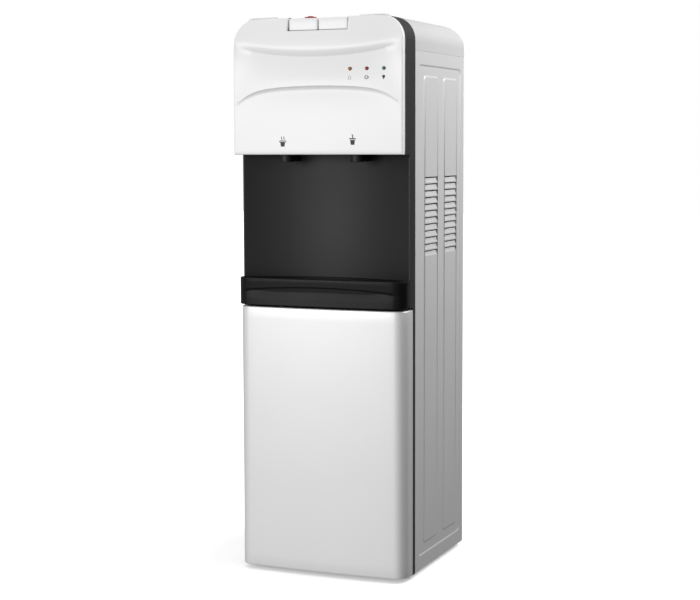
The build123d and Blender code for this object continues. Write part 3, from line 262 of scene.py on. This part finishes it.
def lens_material(name, color, glow):
    """Tinted lamp lens with a faint darker swirl."""
    material, tree, shader, coords = node_material(name)
    swirl = noise(tree, coords, 900.0, 2.0)
    tree.links.new(tint(tree, swirl, [c * 0.5 for c in color], color), shader.inputs["Base Color"])
    tree.links.new(ramp(tree, swirl, 0, 1, 0.08, 0.2), shader.inputs["Roughness"])
    bump(tree, shader, swirl, 0.15, 0.00003)
    shader.inputs["Coat Weight"].default_value = 0.25
    shader.inputs["IOR"].default_value = 1.4
    shader.inputs["Emission Color"].default_value = (*color, 1)
    shader.inputs["Emission Strength"].default_value = glow
    return material


amber_lens = lens_material("amber_lens_finish", (0.42, 0.13, 0.008), 0.02)
red_lens = lens_material("red_lens_finish", (0.30, 0.004, 0.012), 0.02)
green_lens = lens_material("green_lens_finish", (0.0, 0.14, 0.08), 0.02)
ink = moulded("printed_ink", (0.012, 0.012, 0.012), 0.5, 0.3, 2500, 0.00001, 0.1)
pale_ink = moulded("pale_printed_ink", (0.22, 0.22, 0.22), 0.5, 0.2, 2500, 0.00001, 0.1)

NODE_FINISH = {
    "black_steel": black_paint, "silver_paint": panel_paint, "galvanised": zinc, "bright_steel": plated,
    "black_plastic": black_plastic, "white_plastic": white_plastic, "grey_plastic": grey_plastic,
    "white_matte": white_matte, "silver_paint_plastic": front_paint, "red_plastic": red_plastic,
    "green_plastic": green_plastic, "amber_lens": amber_lens, "red_lens": red_lens,
    "green_lens": green_lens, "rubber_black": rubber, "black_paint": black_paint, "copper_like": copper,
    "stainless": brushed, "foam": foam, "silicone": silicone, "board_green": board,
}
for entry in frame["record"]["subparts"]:
    node = frame["nodes"][entry["node"]]
    node.data.materials.clear()
    node.data.materials.append(NODE_FINISH[entry["material_slot"]])


# ---------------------------------------------------------------- mesh helpers
def link(name, bm):
    """Turns a bmesh in mm into an object in metres."""
    mesh = bpy.data.meshes.new(name)
    bmesh.ops.scale(bm, vec=(MM, MM, MM), verts=bm.verts)
    bm.to_mesh(mesh)
    bm.free()
    obj = bpy.data.objects.new(name, mesh)
    bpy.context.scene.collection.objects.link(obj)
    return obj


def finish_piece(obj, material, body, replaced=(), sharp=30.0):
    for polygon in obj.data.polygons:
        polygon.use_smooth = True
    obj.data.set_sharp_from_angle(angle=math.radians(sharp))
    obj.data.materials.append(material)
    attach(obj, body)
    if replaced:
        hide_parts(*replaced)


def thicken(obj, thickness):
    modifier = obj.modifiers.new("wall", "SOLIDIFY")
    modifier.thickness = thickness * MM
    modifier.offset = -1
    modifier.use_even_offset = False


def wrap_edges(bm, inward, wanted, radius, depth, steps=4):
    """Rounds the free edges of a sheet and turns them inwards by depth."""
    edges = [e for e in bm.edges if e.is_boundary and wanted((e.verts[0].co + e.verts[1].co) / 2)]
    outward = {}
    for e in edges:
        middle = (e.verts[0].co + e.verts[1].co) / 2
        side = (e.verts[1].co - e.verts[0].co).cross(inward(middle)).normalized()
        if side.dot(middle - e.link_faces[0].calc_center_median()) < 0:
            side = -side
        for v in e.verts:
            outward.setdefault(v, []).append(side)
    rings = {}
    for v, sides in outward.items():
        mean = sum(sides, Vector()).normalized()
        reach = 1 / max(0.4, mean.dot(sides[0]))
        n = inward(v.co)
        ring = [v]
        for k in range(1, steps + 1):
            a = math.pi / 2 * k / steps
            ring.append(bm.verts.new(v.co + mean * (reach * radius * math.sin(a))
                                     + n * (radius * (1 - math.cos(a)))))
        ring.append(bm.verts.new(v.co + mean * (reach * radius) + n * (radius + depth)))
        rings[v] = ring
    for e in edges:
        a, b = (rings[v] for v in e.verts)
        for k in range(len(a) - 1):
            bm.faces.new((a[k], b[k], b[k + 1], a[k + 1]))


def grid_sheet(rows, wanted=lambda i, j: True):
    bm = bmesh.new()
    verts = [[bm.verts.new(p) for p in row] for row in rows]
    for i in range(len(rows) - 1):
        for j in range(len(rows[i]) - 1):
            if wanted(i, j):
                bm.faces.new((verts[i][j], verts[i][j + 1], verts[i + 1][j + 1], verts[i + 1][j]))
    bmesh.ops.delete(bm, geom=[v for v in bm.verts if not v.link_faces], context="VERTS")
    return bm


def face_outwards(bm, inward):
    bmesh.ops.recalc_face_normals(bm, faces=bm.faces)
    total = sum(f.normal.dot(inward(f.calc_center_median())) * f.calc_area() for f in bm.faces)
    if total > 0:
        bmesh.ops.reverse_faces(bm, faces=bm.faces)


def loft(rings, capped=True):
    """Closed rings of equal length joined into one solid, or an open tube if it isn't capped."""
    bm = bmesh.new()
    verts = [[bm.verts.new(p) for p in ring] for ring in rings]
    count = len(rings[0])
    for a, b in zip(verts, verts[1:]):
        for j in range(count):
            k = (j + 1) % count
            bm.faces.new((a[j], a[k], b[k], b[j]))
    if capped:
        bm.faces.new(verts[0])
        bm.faces.new(verts[-1])
    bmesh.ops.recalc_face_normals(bm, faces=bm.faces)
    return bm


def smoothstep(t):
    t = min(1.0, max(0.0, t))
    return t * t * (3 - 2 * t)


# ---------------------------------------------------------------- front cover
EDGE_ROUND = 2.2
CREASE_DEPTH = 7.0
BULGE_DEPTH = 3.0
BULGE_HEIGHT = 14.7
LEAN = 8.8
LEAN_FROM = 900
SCOOP_EDGE = 2.4
COVER_WALL = 2.0
NOTCH_END = NOTCH_HALF + EDGE_ROUND


def crease_z(x):
    return 892.3 + 6.2e-4 * x**2 + 8e-9 * x**4


def brow_z(x):
    return 843.4 - 4.0e-4 * x**2 - 1.9e-12 * x**6


def fade(x, reach, power):
    return max(0.0, 1 - (abs(x) / reach) ** power)


def cover_y(x, z):
    """Front surface of the cover at (x, z)."""
    base = COVER_EDGE - COVER_BOW * (1 - (x / HALF_WIDTH) ** 2)
    crease_fade = fade(x, 153, 7)
    scoop_fade = fade(x, 151, 3.2)
    crease, brow = crease_z(x), brow_z(x)
    if z >= crease:
        lean = LEAN * max(0.0, (z - LEAN_FROM) / 57) ** 1.7
        under = min(1.0, max(0.0, (crease + BULGE_HEIGHT - z) / BULGE_HEIGHT))
        depth = BULGE_DEPTH + (CREASE_DEPTH - BULGE_DEPTH) * under**2
        return min(base + lean + crease_fade * depth, HOOD_FRONT - 0.8)
    if z >= brow:
        return base + crease_fade * CREASE_DEPTH * ((z - brow) / (crease - brow)) ** 1.5
    drop = brow - z
    u = min(1.0, drop / (brow - COVER_LOW))
    return base + scoop_fade * (1 - math.exp(-drop / SCOOP_EDGE)) * (1.5 + 5.5 * (1 - u) ** 2.6)


def cover_columns():
    straight = HALF_WIDTH - SHOULDER
    xs = [NOTCH_END * i / 12 for i in range(12)]
    xs += [NOTCH_END + (straight - NOTCH_END) * i / 12 for i in range(12)]
    xs += [straight + (SHOULDER - EDGE_ROUND) * math.sin(math.radians(a)) for a in range(0, 91, 6)]
    return [-x for x in reversed(xs[1:])] + xs


def cover_rim(x):
    """Height of the cover's outline, less its rounded edge."""
    r = SHOULDER - EDGE_ROUND
    past = abs(x) - (HALF_WIDTH - SHOULDER)
    if past <= 0:
        return COVER_TOP - EDGE_ROUND
    return COVER_TOP - SHOULDER + math.sqrt(max(0.0, r * r - past * past))


def make_front_cover():
    xs = cover_columns()
    spans = (("rim", 8), ("visor", 12), ("ramp", 8), ("ledge", 6), ("scoop", 18))
    rows = []
    for index, (span, count) in enumerate(spans):
        for i in range(count + (index == len(spans) - 1)):
            t = i / count
            row = []
            for x in xs:
                rim = cover_rim(x)
                shelf = min(NOTCH_LOW - EDGE_ROUND, rim - 1)
                crease, brow = crease_z(x), brow_z(x)
                ledge = brow - 9
                stops = {"rim": (rim, shelf), "visor": (shelf, crease), "ramp": (crease, brow),
                         "ledge": (brow - 0.02, ledge), "scoop": (ledge, COVER_LOW + EDGE_ROUND)}
                a, b = stops[span]
                z = a + (b - a) * (t**1.6 if span == "ledge" else t)
                row.append((x, cover_y(x, z), z))
            rows.append(row)

    def wanted(i, j):
        return not (i < spans[0][1] and abs(xs[j] + xs[j + 1]) / 2 < NOTCH_END)

    bm = grid_sheet(rows, wanted)
    back = Vector((0, 1, 0))
    wrap_edges(bm, lambda p: back, lambda p: True, EDGE_ROUND, 6.0)
    # bring the turned edge back to the hood, but leave the buttons room under them to tilt
    for v in bm.verts:
        if len(v.link_faces) <= 2 and v.is_boundary:
            under_buttons = abs(v.co.x) < NOTCH_END and abs(v.co.z - NOTCH_LOW) < 1
            v.co.y = NOTCH_RIM if under_buttons else HOOD_FRONT
    face_outwards(bm, lambda p: back)
    obj = link("front_cover_shell", bm)
    thicken(obj, COVER_WALL)
    finish_piece(obj, white_plastic, "cabinet", ["front_cover"], 24)


make_front_cover()


MARK_PROUD = 0.10
MARK_SUNK = 0.5


def cover_mark(name, outlines, material):
    """Thin printed shapes that follow the front cover; each outline is a list of (x, z)."""
    bm = bmesh.new()
    for outline in outlines:
        front = [bm.verts.new((x, cover_y(x, z) - MARK_PROUD, z)) for x, z in outline]
        rear = [bm.verts.new((x, cover_y(x, z) + MARK_SUNK, z)) for x, z in outline]
        bm.faces.new(front)
        bm.faces.new(list(reversed(rear)))
        count = len(outline)
        for j in range(count):
            k = (j + 1) % count
            bm.faces.new((front[j], front[k], rear[k], rear[j]))
    bmesh.ops.recalc_face_normals(bm, faces=bm.faces)
    finish_piece(link(name, bm), material, "cabinet")


def stroke(points, width):
    """Outline of a line of even width through points."""
    left, right = [], []
    for i, (x, z) in enumerate(points):
        x0, z0 = points[max(0, i - 1)]
        x1, z1 = points[min(len(points) - 1, i + 1)]
        length = math.hypot(x1 - x0, z1 - z0)
        nx, nz = -(z1 - z0) / length * width / 2, (x1 - x0) / length * width / 2
        left.append((x + nx, z + nz))
        right.append((x - nx, z - nz))
    return left + right[::-1]


def arc(cx, cz, r, a0, a1, count):
    angles = [math.radians(a0 + (a1 - a0) * i / count) for i in range(count + 1)]
    return [(cx + r * math.cos(a), cz + r * math.sin(a)) for a in angles]


ICON_SCALE = 1.15


def placed(outlines, x, z, scale):
    return [[(x + px * scale, z + pz * scale) for px, pz in outline] for outline in outlines]


def steaming_cup(x, z):
    """Cup with two wisps of steam; (x, z) is the middle of the cup's foot."""
    body = [(-2.9, 0), (2.9, 0), (3.9, 7.0), (-3.9, 7.0)]
    rim = [(-4.6, 7.8), (4.6, 7.8), (4.6, 9.0), (-4.6, 9.0)]
    wisps = [stroke([(dx, 10.0), (dx + 0.9, 11.4), (dx - 0.5, 12.9), (dx + 0.3, 14.6)], 1.1)
             for dx in (-1.9, 1.9)]
    ears = [stroke([(s * 4.2, 6.0), (s * 5.6, 8.4)], 1.0) for s in (-1, 1)]
    return placed([body, rim] + wisps + ears, x, z, ICON_SCALE)


def straw_cup(x, z):
    """Tumbler with a lid and a straw."""
    body = [(-2.8, 0), (2.8, 0), (3.8, 7.2), (-3.8, 7.2)]
    lid = [(-5.3, 8.1), (5.3, 8.1), (4.7, 9.7), (-4.7, 9.7)]
    straw = stroke([(0.2, 9.8), (0.2, 14.0), (-1.2, 14.8)], 1.6)
    return placed([body, lid, straw], x, z, ICON_SCALE)


cover_mark("hot_cup_mark", steaming_cup(-62.0, 741.6), ink)
cover_mark("cold_cup_mark", straw_cup(66.3, 744.2), ink)

LAMP_Z = 869.7
LAMP_MARK_Z = 855.5
LAMPS = ((61.5, "amber_lens", amber_lens), (91.5, "red_lens", red_lens),
         (121.5, "green_lens", green_lens))
# radius of each ring, and how far behind the cover's face it lies
DOME = ((3.0, 3.0), (3.0, 0.35), (2.85, -0.15), (2.5, -0.6), (1.9, -0.95), (1.1, -1.2), (0.4, -1.28))
SOCKET = ((3.2, 0.6), (3.2, -0.06), (3.55, -0.12), (3.7, 0.0), (3.7, 0.6))

bell = [(-2.5, -1.9), (-1.8, 1.4), (0, 3.1), (1.8, 1.4), (2.5, -1.9)]
bell_foot = [(-2.7, -2.6), (2.7, -2.6)]
ring = arc(-0.3, 0, 2.6, 0, 358, 24)
ring_tail = [(2.9, 1.4), (3.8, -1.0)]
drop = arc(0, 0.8, 2.7, 0, 180, 12) + [(0, -3.8)]
for (lamp_x, _, _), mark_name, outlines, mark_ink in zip(
        LAMPS, ("lamp_mark_left", "lamp_mark_middle", "lamp_mark_right"),
        ([stroke(bell, 0.7), stroke(bell_foot, 0.7)], [stroke(ring, 1.1), stroke(ring_tail, 1.1)], [drop]),
        (pale_ink, ink, ink)):
    cover_mark(mark_name, placed(outlines, lamp_x, LAMP_MARK_Z, 1.0), mark_ink)


def make_lens(x, name, material):
    """Domed lens in a shallow dark socket."""
    y = cover_y(x, LAMP_Z)

    def rings(profile):
        angles = [math.radians(a) for a in range(0, 360, 15)]
        return [[(x + r * math.cos(a), y + dy, LAMP_Z + r * math.sin(a)) for a in angles]
                for r, dy in profile]

    finish_piece(link(name + "_dome", loft(rings(DOME))), material, "cabinet", [name])
    finish_piece(link(name + "_socket", loft(rings(SOCKET), capped=False)), black_plastic, "cabinet")


for lamp_x, lamp_name, lamp_material in LAMPS:
    make_lens(lamp_x, lamp_name, lamp_material)


# ---------------------------------------------------------------- bowed fronts: door and tray
def front_plan(edge_y, bow, corner, back_left, back_right, steps=10, across=28):
    """Points and outward normals of a bowed front with rounded corners, left to right."""
    centre_x = HALF_WIDTH - corner
    radius = (centre_x**2 + bow**2) / (2 * bow)
    tilt = math.asin(centre_x / radius)
    points = [((-HALF_WIDTH, back_left), (-1, 0))]
    for i in range(steps + 1):
        a = math.radians(180) + (math.radians(90) - tilt) * i / steps
        n = (math.cos(a), math.sin(a))
        points.append(((-centre_x + corner * n[0], edge_y + corner + corner * n[1]), n))
    bow_y = points[-1][0][1]
    x_start = -points[-1][0][0]
    for i in range(1, across):
        x = -x_start + 2 * x_start * i / across
        y = bow_y - (math.sqrt(radius**2 - x**2) - math.sqrt(radius**2 - x_start**2))
        points.append(((x, y), (x / radius, -math.sqrt(1 - (x / radius) ** 2))))
    for i in range(steps + 1):
        a = math.radians(270) + tilt + (math.radians(90) - tilt) * i / steps
        n = (math.cos(a), math.sin(a))
        points.append(((centre_x + corner * n[0], edge_y + corner + corner * n[1]), n))
    points.append(((HALF_WIDTH, back_right), (1, 0)))
    return points


def make_door():
    plan = front_plan(DOOR_FRONT, DOOR_BOW, DOOR_CORNER, DOOR_BACK_LEFT, DOOR_BACK_RIGHT)
    edge = DOOR_EDGE
    levels = [CASE_LOW + edge + (DOOR_TOP - CASE_LOW - 2 * edge) * i / 24 for i in range(25)]
    rows = [[(p[0], p[1], z) for p, n in plan] for z in levels]
    bm = grid_sheet(rows)
    normals = {(round(p[0], 4), round(p[1], 4)): Vector((-n[0], -n[1], 0)) for p, n in plan}

    def inward(p):
        key = (round(p.x, 4), round(p.y, 4))
        if key in normals:
            return normals[key]
        return min(normals.items(), key=lambda k: (k[0][0] - p.x) ** 2 + (k[0][1] - p.y) ** 2)[1]

    def level_edge(p):
        return p.z < levels[0] + 0.1 or p.z > levels[-1] - 0.1

    wrap_edges(bm, inward, level_edge, edge, 9.0)
    face_outwards(bm, inward)
    obj = link("door_skin", bm)
    thicken(obj, DOOR_WALL)
    finish_piece(obj, front_paint, "door", ["door_panel"])


make_door()


def make_tray():
    low, high = TRAY_LOW + 1.2, TRAY_TOP - TRAY_EDGE

    def outline(inset, z):
        ring = []
        for (x, y), n in front_plan(TRAY_FRONT, DOOR_BOW, DOOR_CORNER, TRAY_STEP, TRAY_STEP):
            at_step = y > TRAY_STEP - 0.01
            ring.append((x - n[0] * inset, TRAY_STEP - inset if at_step else y - n[1] * inset, z))
        # step in behind the frame's cheeks, then the arc along the alcove
        rear = TRAY_REAR_HALF - inset
        for i in range(21):
            x = rear - 2 * rear * i / 20
            y = TRAY_STEP - inset + (TRAY_REAR_MIDDLE - TRAY_STEP) * (1 - (x / rear) ** 2)
            ring.append((x, y, z))
        return ring

    def skirt(inset):
        return [(x, y, TRAY_LOW if y < -130 else TRAY_LIFT) for x, y, _ in outline(inset, 0)]

    def shaped(level):
        """Ring whose front follows the brow: level runs from 0 at the skirt to 1 at the lip."""
        ring = []
        for x, y, _ in outline(0, 0):
            b = TRAY_BROW - 6.7 * (x / 140.0) ** 2
            ledge = b - 4.0
            marks = ((0.0, low, 0.4), (0.35, low + (ledge - low) * 0.45, 1.6), (0.7, ledge, 4.2),
                     (0.78, b - 0.6, 1.6), (0.82, b, 0.0), (1.0, high, 0.0))
            for (l0, z0, d0), (l1, z1, d1) in zip(marks, marks[1:]):
                if level <= l1 or l1 == 1.0:
                    t = (level - l0) / (l1 - l0)
                    z, d = z0 + (z1 - z0) * t, d0 + (d1 - d0) * t
                    break
            front = smoothstep((-y - 128) / 14) * fade(x, 152, 5)
            if front <= 0:
                z = high - (high - low) * (1 - level)
            ring.append((x, y + d * front, z if y < TRAY_STEP - 0.5 else max(z, TRAY_LIFT + level)))
        return ring

    rings = [outline(3.2, TRAY_LIFT), skirt(3.0), skirt(1.2)]
    for level in (0.0, 0.12, 0.24, 0.35, 0.47, 0.58, 0.64, 0.7, 0.74, 0.78, 0.8, 0.82, 0.86, 0.93, 1.0):
        rings.append(shaped(level))
    for k in range(1, 4):
        a = math.pi / 2 * k / 3
        rings.append(outline(TRAY_EDGE * (1 - math.cos(a)), high + TRAY_EDGE * math.sin(a)))
    # over the lip, down past the ledge that carries the grille, to the tray's floor
    rings += [outline(inset, z) for inset, z in (
        (2.4, TRAY_TOP - 0.1), (3.0, TRAY_TOP - 0.7), (3.0, 509.2), (5.0, 509.0), (5.0, 507.0),
        (3.2, 506.6), (3.4, 479.0), (5.6, 476.8))]
    finish_piece(link("drip_tray_shell", loft(rings)), black_gloss, "tray",
                 ["drip_tray"], 24)


make_tray()


# ---------------------------------------------------------------- side panels
def rounded_loop(y0, y1, z0, z1, r, steps=6):
    points = []
    for cy, cz, start in ((y1 - r, z1 - r, 0), (y0 + r, z1 - r, 90), (y0 + r, z0 + r, 180),
                          (y1 - r, z0 + r, 270)):
        for i in range(steps + 1):
            a = math.radians(start + 90 * i / steps)
            points.append((cy + r * math.cos(a), cz + r * math.sin(a)))
    return points


RECESS = (-78.0, 142.0, 32.0, 880.0)
FIELDS = ((-51.0, 22.0), (50.0, 123.0))
FIELD_Z = (50.0, 862.0)
RECESS_DEPTH = 1.5
FIELD_RISE = 1.2
PRESS_WIDTH = 3.4
LOUVRES = 12
LOUVRE_TOP = 689.0
LOUVRE_PITCH = 11.5
LOUVRE_HALF = 33.5
LOUVRE_HEIGHT = 9.4
LOUVRE_DEPTH = 2.4
LOUVRE_SLIT = 2.0
LOUVRE_STEPS = 5
PANEL_EDGE = 1.2
PANEL_WALL = 0.9
FLAT_AREA = 1.2e-4


def make_side_panel(side, name, node):
    bm = bmesh.new()

    def ring(loop, depth):
        verts = [bm.verts.new((side * (HALF_WIDTH - depth), y, z)) for y, z in loop]
        return verts, [bm.edges.new((verts[i], verts[(i + 1) % len(verts)])) for i in range(len(verts))]

    def pressing(y0, y1, z0, z1, r, depth0, depth1, steps=6):
        """Slope from depth0 outside to depth1 inside; gives its outer and inner edges and inner loop."""
        outer_edges = None
        previous = None
        insets = [-1.0] + [PRESS_WIDTH * k / steps for k in range(steps + 1)] + [PRESS_WIDTH + 1.0]
        for inset in insets:
            t = smoothstep(inset / PRESS_WIDTH)
            depth = depth0 + (depth1 - depth0) * t
            loop = rounded_loop(y0 + inset, y1 - inset, z0 + inset, z1 - inset, max(1.5, r - inset))
            verts, edges = ring(loop, depth)
            if outer_edges is None:
                outer_edges = edges
            else:
                for i in range(len(verts)):
                    k = (i + 1) % len(verts)
                    bm.faces.new((previous[i], previous[k], verts[k], verts[i]))
            previous = verts
        return outer_edges, edges, verts

    front, back = PANEL_FRONT + PANEL_EDGE, PANEL_BACK - PANEL_EDGE
    low, high = CASE_LOW + PANEL_EDGE, SEAM - PANEL_EDGE
    rim_edges = ring([(front, low), (back, low), (back, high), (front, high)], 0.0)[1]
    recess_out, recess_in, _ = pressing(*RECESS, 10.0, 0.0, RECESS_DEPTH)
    bmesh.ops.triangle_fill(bm, edges=rim_edges + recess_out, use_beauty=True)
    inner = list(recess_in)
    face_depth = RECESS_DEPTH - FIELD_RISE
    for y0, y1 in FIELDS:
        field_out, _, corners_in = pressing(y0, y1, *FIELD_Z, 8.0, RECESS_DEPTH, face_depth)
        inner += field_out
        middle = (y0 + y1) / 2
        heights = []
        for row in reversed(range(LOUVRES)):
            top = LOUVRE_TOP - row * LOUVRE_PITCH
            heights += [top - LOUVRE_HEIGHT, top]
        sides = [[bm.verts.new((side * (HALF_WIDTH - face_depth), middle + s * LOUVRE_HALF, z))
                  for z in heights] for s in (-1, 1)]
        # face round the louvres: rear, front, above and below
        turn = len(corners_in) // 4
        upper_rear, upper_front, lower_front, lower_rear = (
            corners_in[k * turn:(k + 1) * turn] for k in range(4))
        bm.faces.new(upper_front + lower_front + sides[0])
        bm.faces.new(lower_rear + upper_rear + sides[1][::-1])
        bm.faces.new((upper_rear[-1], upper_front[0], sides[0][-1], sides[1][-1]))
        bm.faces.new((lower_front[-1], lower_rear[0], sides[1][0], sides[0][0]))
        for k in range(0, len(heights), 2):
            if k:
                bm.faces.new((sides[0][k - 1], sides[1][k - 1], sides[1][k], sides[0][k]))
            # strip pressed inwards, open along its top
            strip = [(sides[0][k], sides[1][k])]
            for i in range(1, LOUVRE_STEPS + 1):
                t = i / LOUVRE_STEPS
                depth = face_depth + LOUVRE_DEPTH * (1.4 * t - 0.4 * t * t)
                z = heights[k] + (LOUVRE_HEIGHT - LOUVRE_SLIT) * t
                reach = LOUVRE_HALF - 1.6 * t
                strip.append(tuple(bm.verts.new((side * (HALF_WIDTH - depth), middle + s * reach, z))
                                   for s in (-1, 1)))
            for (c, d), (e, f) in zip(strip, strip[1:]):
                bm.faces.new((c, d, f, e))
            for s in (0, 1):
                for c, d in zip(strip, strip[1:]):
                    bm.faces.new((c[s], d[s], sides[s][k + 1]))
    bmesh.ops.triangle_fill(bm, edges=inner, use_beauty=True)
    inward_dir = Vector((-side, 0, 0))

    def on_rim(p):
        return p.y < front + 0.01 or p.y > back - 0.01 or p.z < low + 0.01 or p.z > high - 0.01

    wrap_edges(bm, lambda p: inward_dir, on_rim, PANEL_EDGE, 9.0, 3)
    face_outwards(bm, lambda p: inward_dir)
    obj = link(name, bm)
    thicken(obj, PANEL_WALL)
    finish_piece(obj, panel_paint, "cabinet", [node], 28)
    for polygon in obj.data.polygons:
        if polygon.area > FLAT_AREA:
            polygon.use_smooth = False


make_side_panel(1, "right_panel_pressed", "right_side_panel")
make_side_panel(-1, "left_panel_pressed", "left_side_panel")


# ---------------------------------------------------------------- buttons and child lock
def rounded_block(bm, x0, x1, y0, y1, z0, z1, radius, segments=4):
    verts = bmesh.ops.create_cube(bm, size=1.0)["verts"]
    for v in verts:
        v.co = Vector((x0 if v.co.x < 0 else x1, y0 if v.co.y < 0 else y1, z0 if v.co.z < 0 else z1))
    edges = {e for v in verts for e in v.link_edges}
    bmesh.ops.bevel(bm, geom=list(edges), offset=radius, segments=segments, profile=0.5,
                    affect="EDGES", clamp_overlap=True)


BUTTON_GAP = 0.9
BUTTON_WIDTH = 52.6
LOCK_X = -17.0
LOCK_Y = -138.0


def make_button(side, name, node, body):
    x0, x1 = sorted((side * BUTTON_GAP, side * (BUTTON_GAP + BUTTON_WIDTH)))
    bm = bmesh.new()
    rounded_block(bm, x0, x1, -147.0, -106.3, 936.3, 957.4, 1.6)
    middle = (x0 + x1) / 2
    bmesh.ops.subdivide_edges(bm, edges=[e for e in bm.edges if e.calc_length() > 20], cuts=6,
                              use_grid_fill=True)
    for v in bm.verts:
        if v.co.z > 955:
            v.co.z -= 0.4 * ((v.co.x - middle) / 25.8) ** 2 + 0.7 * smoothstep((-v.co.y - 138) / 9)
        if v.co.y > -136 and v.co.z < 945:
            v.co.z = 944
    bmesh.ops.recalc_face_normals(bm, faces=bm.faces)
    finish_piece(link(name, bm), white_plastic, body, [node], 35)


make_button(-1, "hot_button_cap", "hot_button", "hot_button_body")
make_button(1, "cold_button_cap", "cold_button", "cold_button_body")


def make_lock():
    x, y = LOCK_X, LOCK_Y
    bm = bmesh.new()
    rounded_block(bm, x - 9, x + 9, y - 6, y + 6, 957.5, 958.8, 0.5, 3)
    rounded_block(bm, x - 4, x + 4, y - 3.5, y + 3.5, 958.0, 960.05, 0.8, 3)
    for i in range(4):
        rounded_block(bm, x - 3.4, x + 3.4, y - 2.6 + i * 1.5, y - 2.0 + i * 1.5, 959.4, 960.1, 0.2, 2)
    finish_piece(link("child_lock_key", bm), red_plastic, "child_lock_body",
                 ["child_lock"], 35)


make_lock()


# ---------------------------------------------------------------- floor, light and camera
def make_floor():
    mesh = bpy.data.meshes.new("studio_floor")
    size = 14.0
    mesh.from_pydata([(-size, -size, 0), (size, -size, 0), (size, size, 0), (-size, size, 0)], [],
                     [(0, 1, 2, 3)])
    floor = bpy.data.objects.new("studio_floor", mesh)
    bpy.context.scene.collection.objects.link(floor)
    material, tree, shader, coords = node_material("studio_floor_paint")
    tree.links.new(tint(tree, noise(tree, coords, 3.0), (0.93, 0.93, 0.93), (0.96, 0.96, 0.96)),
                   shader.inputs["Base Color"])
    shader.inputs["Roughness"].default_value = 0.9
    shader.inputs["Specular IOR Level"].default_value = 0.0
    shader.inputs["Emission Color"].default_value = (1, 1, 1, 1)
    length = tree.nodes.new("ShaderNodeVectorMath")
    length.operation = "LENGTH"
    tree.links.new(coords, length.inputs[0])
    # floor glow rises with distance from the object: the weaker glow near it is painted shade round its
    # base, where the lamps' real cast shadow also falls; the full glow further off keeps the floor white
    tree.links.new(ramp(tree, length.outputs["Value"], 0.25, 0.75, 0.35, 1.0),
                   shader.inputs["Emission Strength"])
    mesh.materials.append(material)
    floor.visible_glossy = False
    floor.visible_diffuse = False


make_floor()


def make_world():
    world = bpy.data.worlds.new("studio")
    bpy.context.scene.world = world
    world.use_nodes = True
    tree = world.node_tree
    tree.nodes.clear()
    out = tree.nodes.new("ShaderNodeOutputWorld")
    coords = tree.nodes.new("ShaderNodeTexCoord")
    split = tree.nodes.new("ShaderNodeSeparateXYZ")
    tree.links.new(coords.outputs["Generated"], split.inputs["Vector"])
    height = tree.nodes.new("ShaderNodeValToRGB")
    height.color_ramp.elements[0].position = 0.0
    height.color_ramp.elements[0].color = (0.5, 0.5, 0.5, 1)
    height.color_ramp.elements[1].position = 1.0
    height.color_ramp.elements[1].color = (0.92, 0.92, 0.92, 1)
    middle = height.color_ramp.elements.new(0.5)
    middle.color = (0.75, 0.75, 0.75, 1)
    tree.links.new(ramp(tree, split.outputs["Z"], -0.6, 0.6, 0, 1), height.inputs["Fac"])
    side = maths(tree, "MULTIPLY", ramp(tree, split.outputs["X"], 0.35, 0.9, 1.0, 0.1),
                 ramp(tree, split.outputs["Y"], -0.3, 0.6, 1.0, 0.45))
    shade = tree.nodes.new("ShaderNodeBackground")
    tree.links.new(height.outputs["Color"], shade.inputs["Color"])
    tree.links.new(maths(tree, "MULTIPLY", side, 0.9), shade.inputs["Strength"])
    white = tree.nodes.new("ShaderNodeBackground")
    white.inputs["Color"].default_value = (1, 1, 1, 1)
    rays = tree.nodes.new("ShaderNodeLightPath")
    mix = tree.nodes.new("ShaderNodeMixShader")
    tree.links.new(rays.outputs["Is Camera Ray"], mix.inputs["Fac"])
    tree.links.new(shade.outputs["Background"], mix.inputs[1])
    tree.links.new(white.outputs["Background"], mix.inputs[2])
    tree.links.new(mix.outputs["Shader"], out.inputs["Surface"])


make_world()


def area_light(name, place, target, size, power):
    light = bpy.data.lights.new(name, "AREA")
    light.shape = "RECTANGLE"
    light.size, light.size_y = size
    light.energy = power
    obj = bpy.data.objects.new(name, light)
    bpy.context.scene.collection.objects.link(obj)
    obj.location = place
    obj.rotation_mode = "QUATERNION"
    obj.rotation_quaternion = (Vector(target) - Vector(place)).to_track_quat("-Z", "Y")


area_light("key_softbox", (-1.1, -2.8, 0.95), (0, 0, 0.6), (1.3, 0.9), 26)
area_light("top_softbox", (0.2, -0.4, 2.6), (0, 0, 0.6), (2.2, 2.2), 5)
area_light("side_softbox", (1.0, 0.35, 1.4), (0.155, 0.03, 0.8), (0.8, 0.8), 15)


# camera fitted to the photograph's outline: degrees, metres, millimetres of lens
CAMERA_TURN = (22.6137, 5.4658, -0.1755)
CAMERA_PLACE = (1.09982, -2.65112, 0.74286)
CAMERA_LENS = 82.934


def make_camera():
    yaw, pitch, roll = (math.radians(a) for a in CAMERA_TURN)
    ahead = Vector((-math.sin(yaw) * math.cos(pitch), math.cos(yaw) * math.cos(pitch), -math.sin(pitch)))
    level = Vector((math.cos(yaw), math.sin(yaw), 0))
    above = level.cross(ahead)
    right = level * math.cos(roll) + above * math.sin(roll)
    up = right.cross(ahead)
    camera = bpy.data.cameras.new("camera")
    camera.lens = CAMERA_LENS
    camera.sensor_width = 36.0
    camera.clip_start = 0.05
    camera.clip_end = 60.0
    obj = bpy.data.objects.new("camera", camera)
    bpy.context.scene.collection.objects.link(obj)
    turn = Matrix((right, up, -ahead)).transposed().to_4x4()
    obj.matrix_world = Matrix.Translation(CAMERA_PLACE) @ turn
    bpy.context.scene.camera = obj


make_camera()
bpy.context.scene.view_settings.view_transform = "Standard"
bpy.context.scene.view_settings.look = "None"
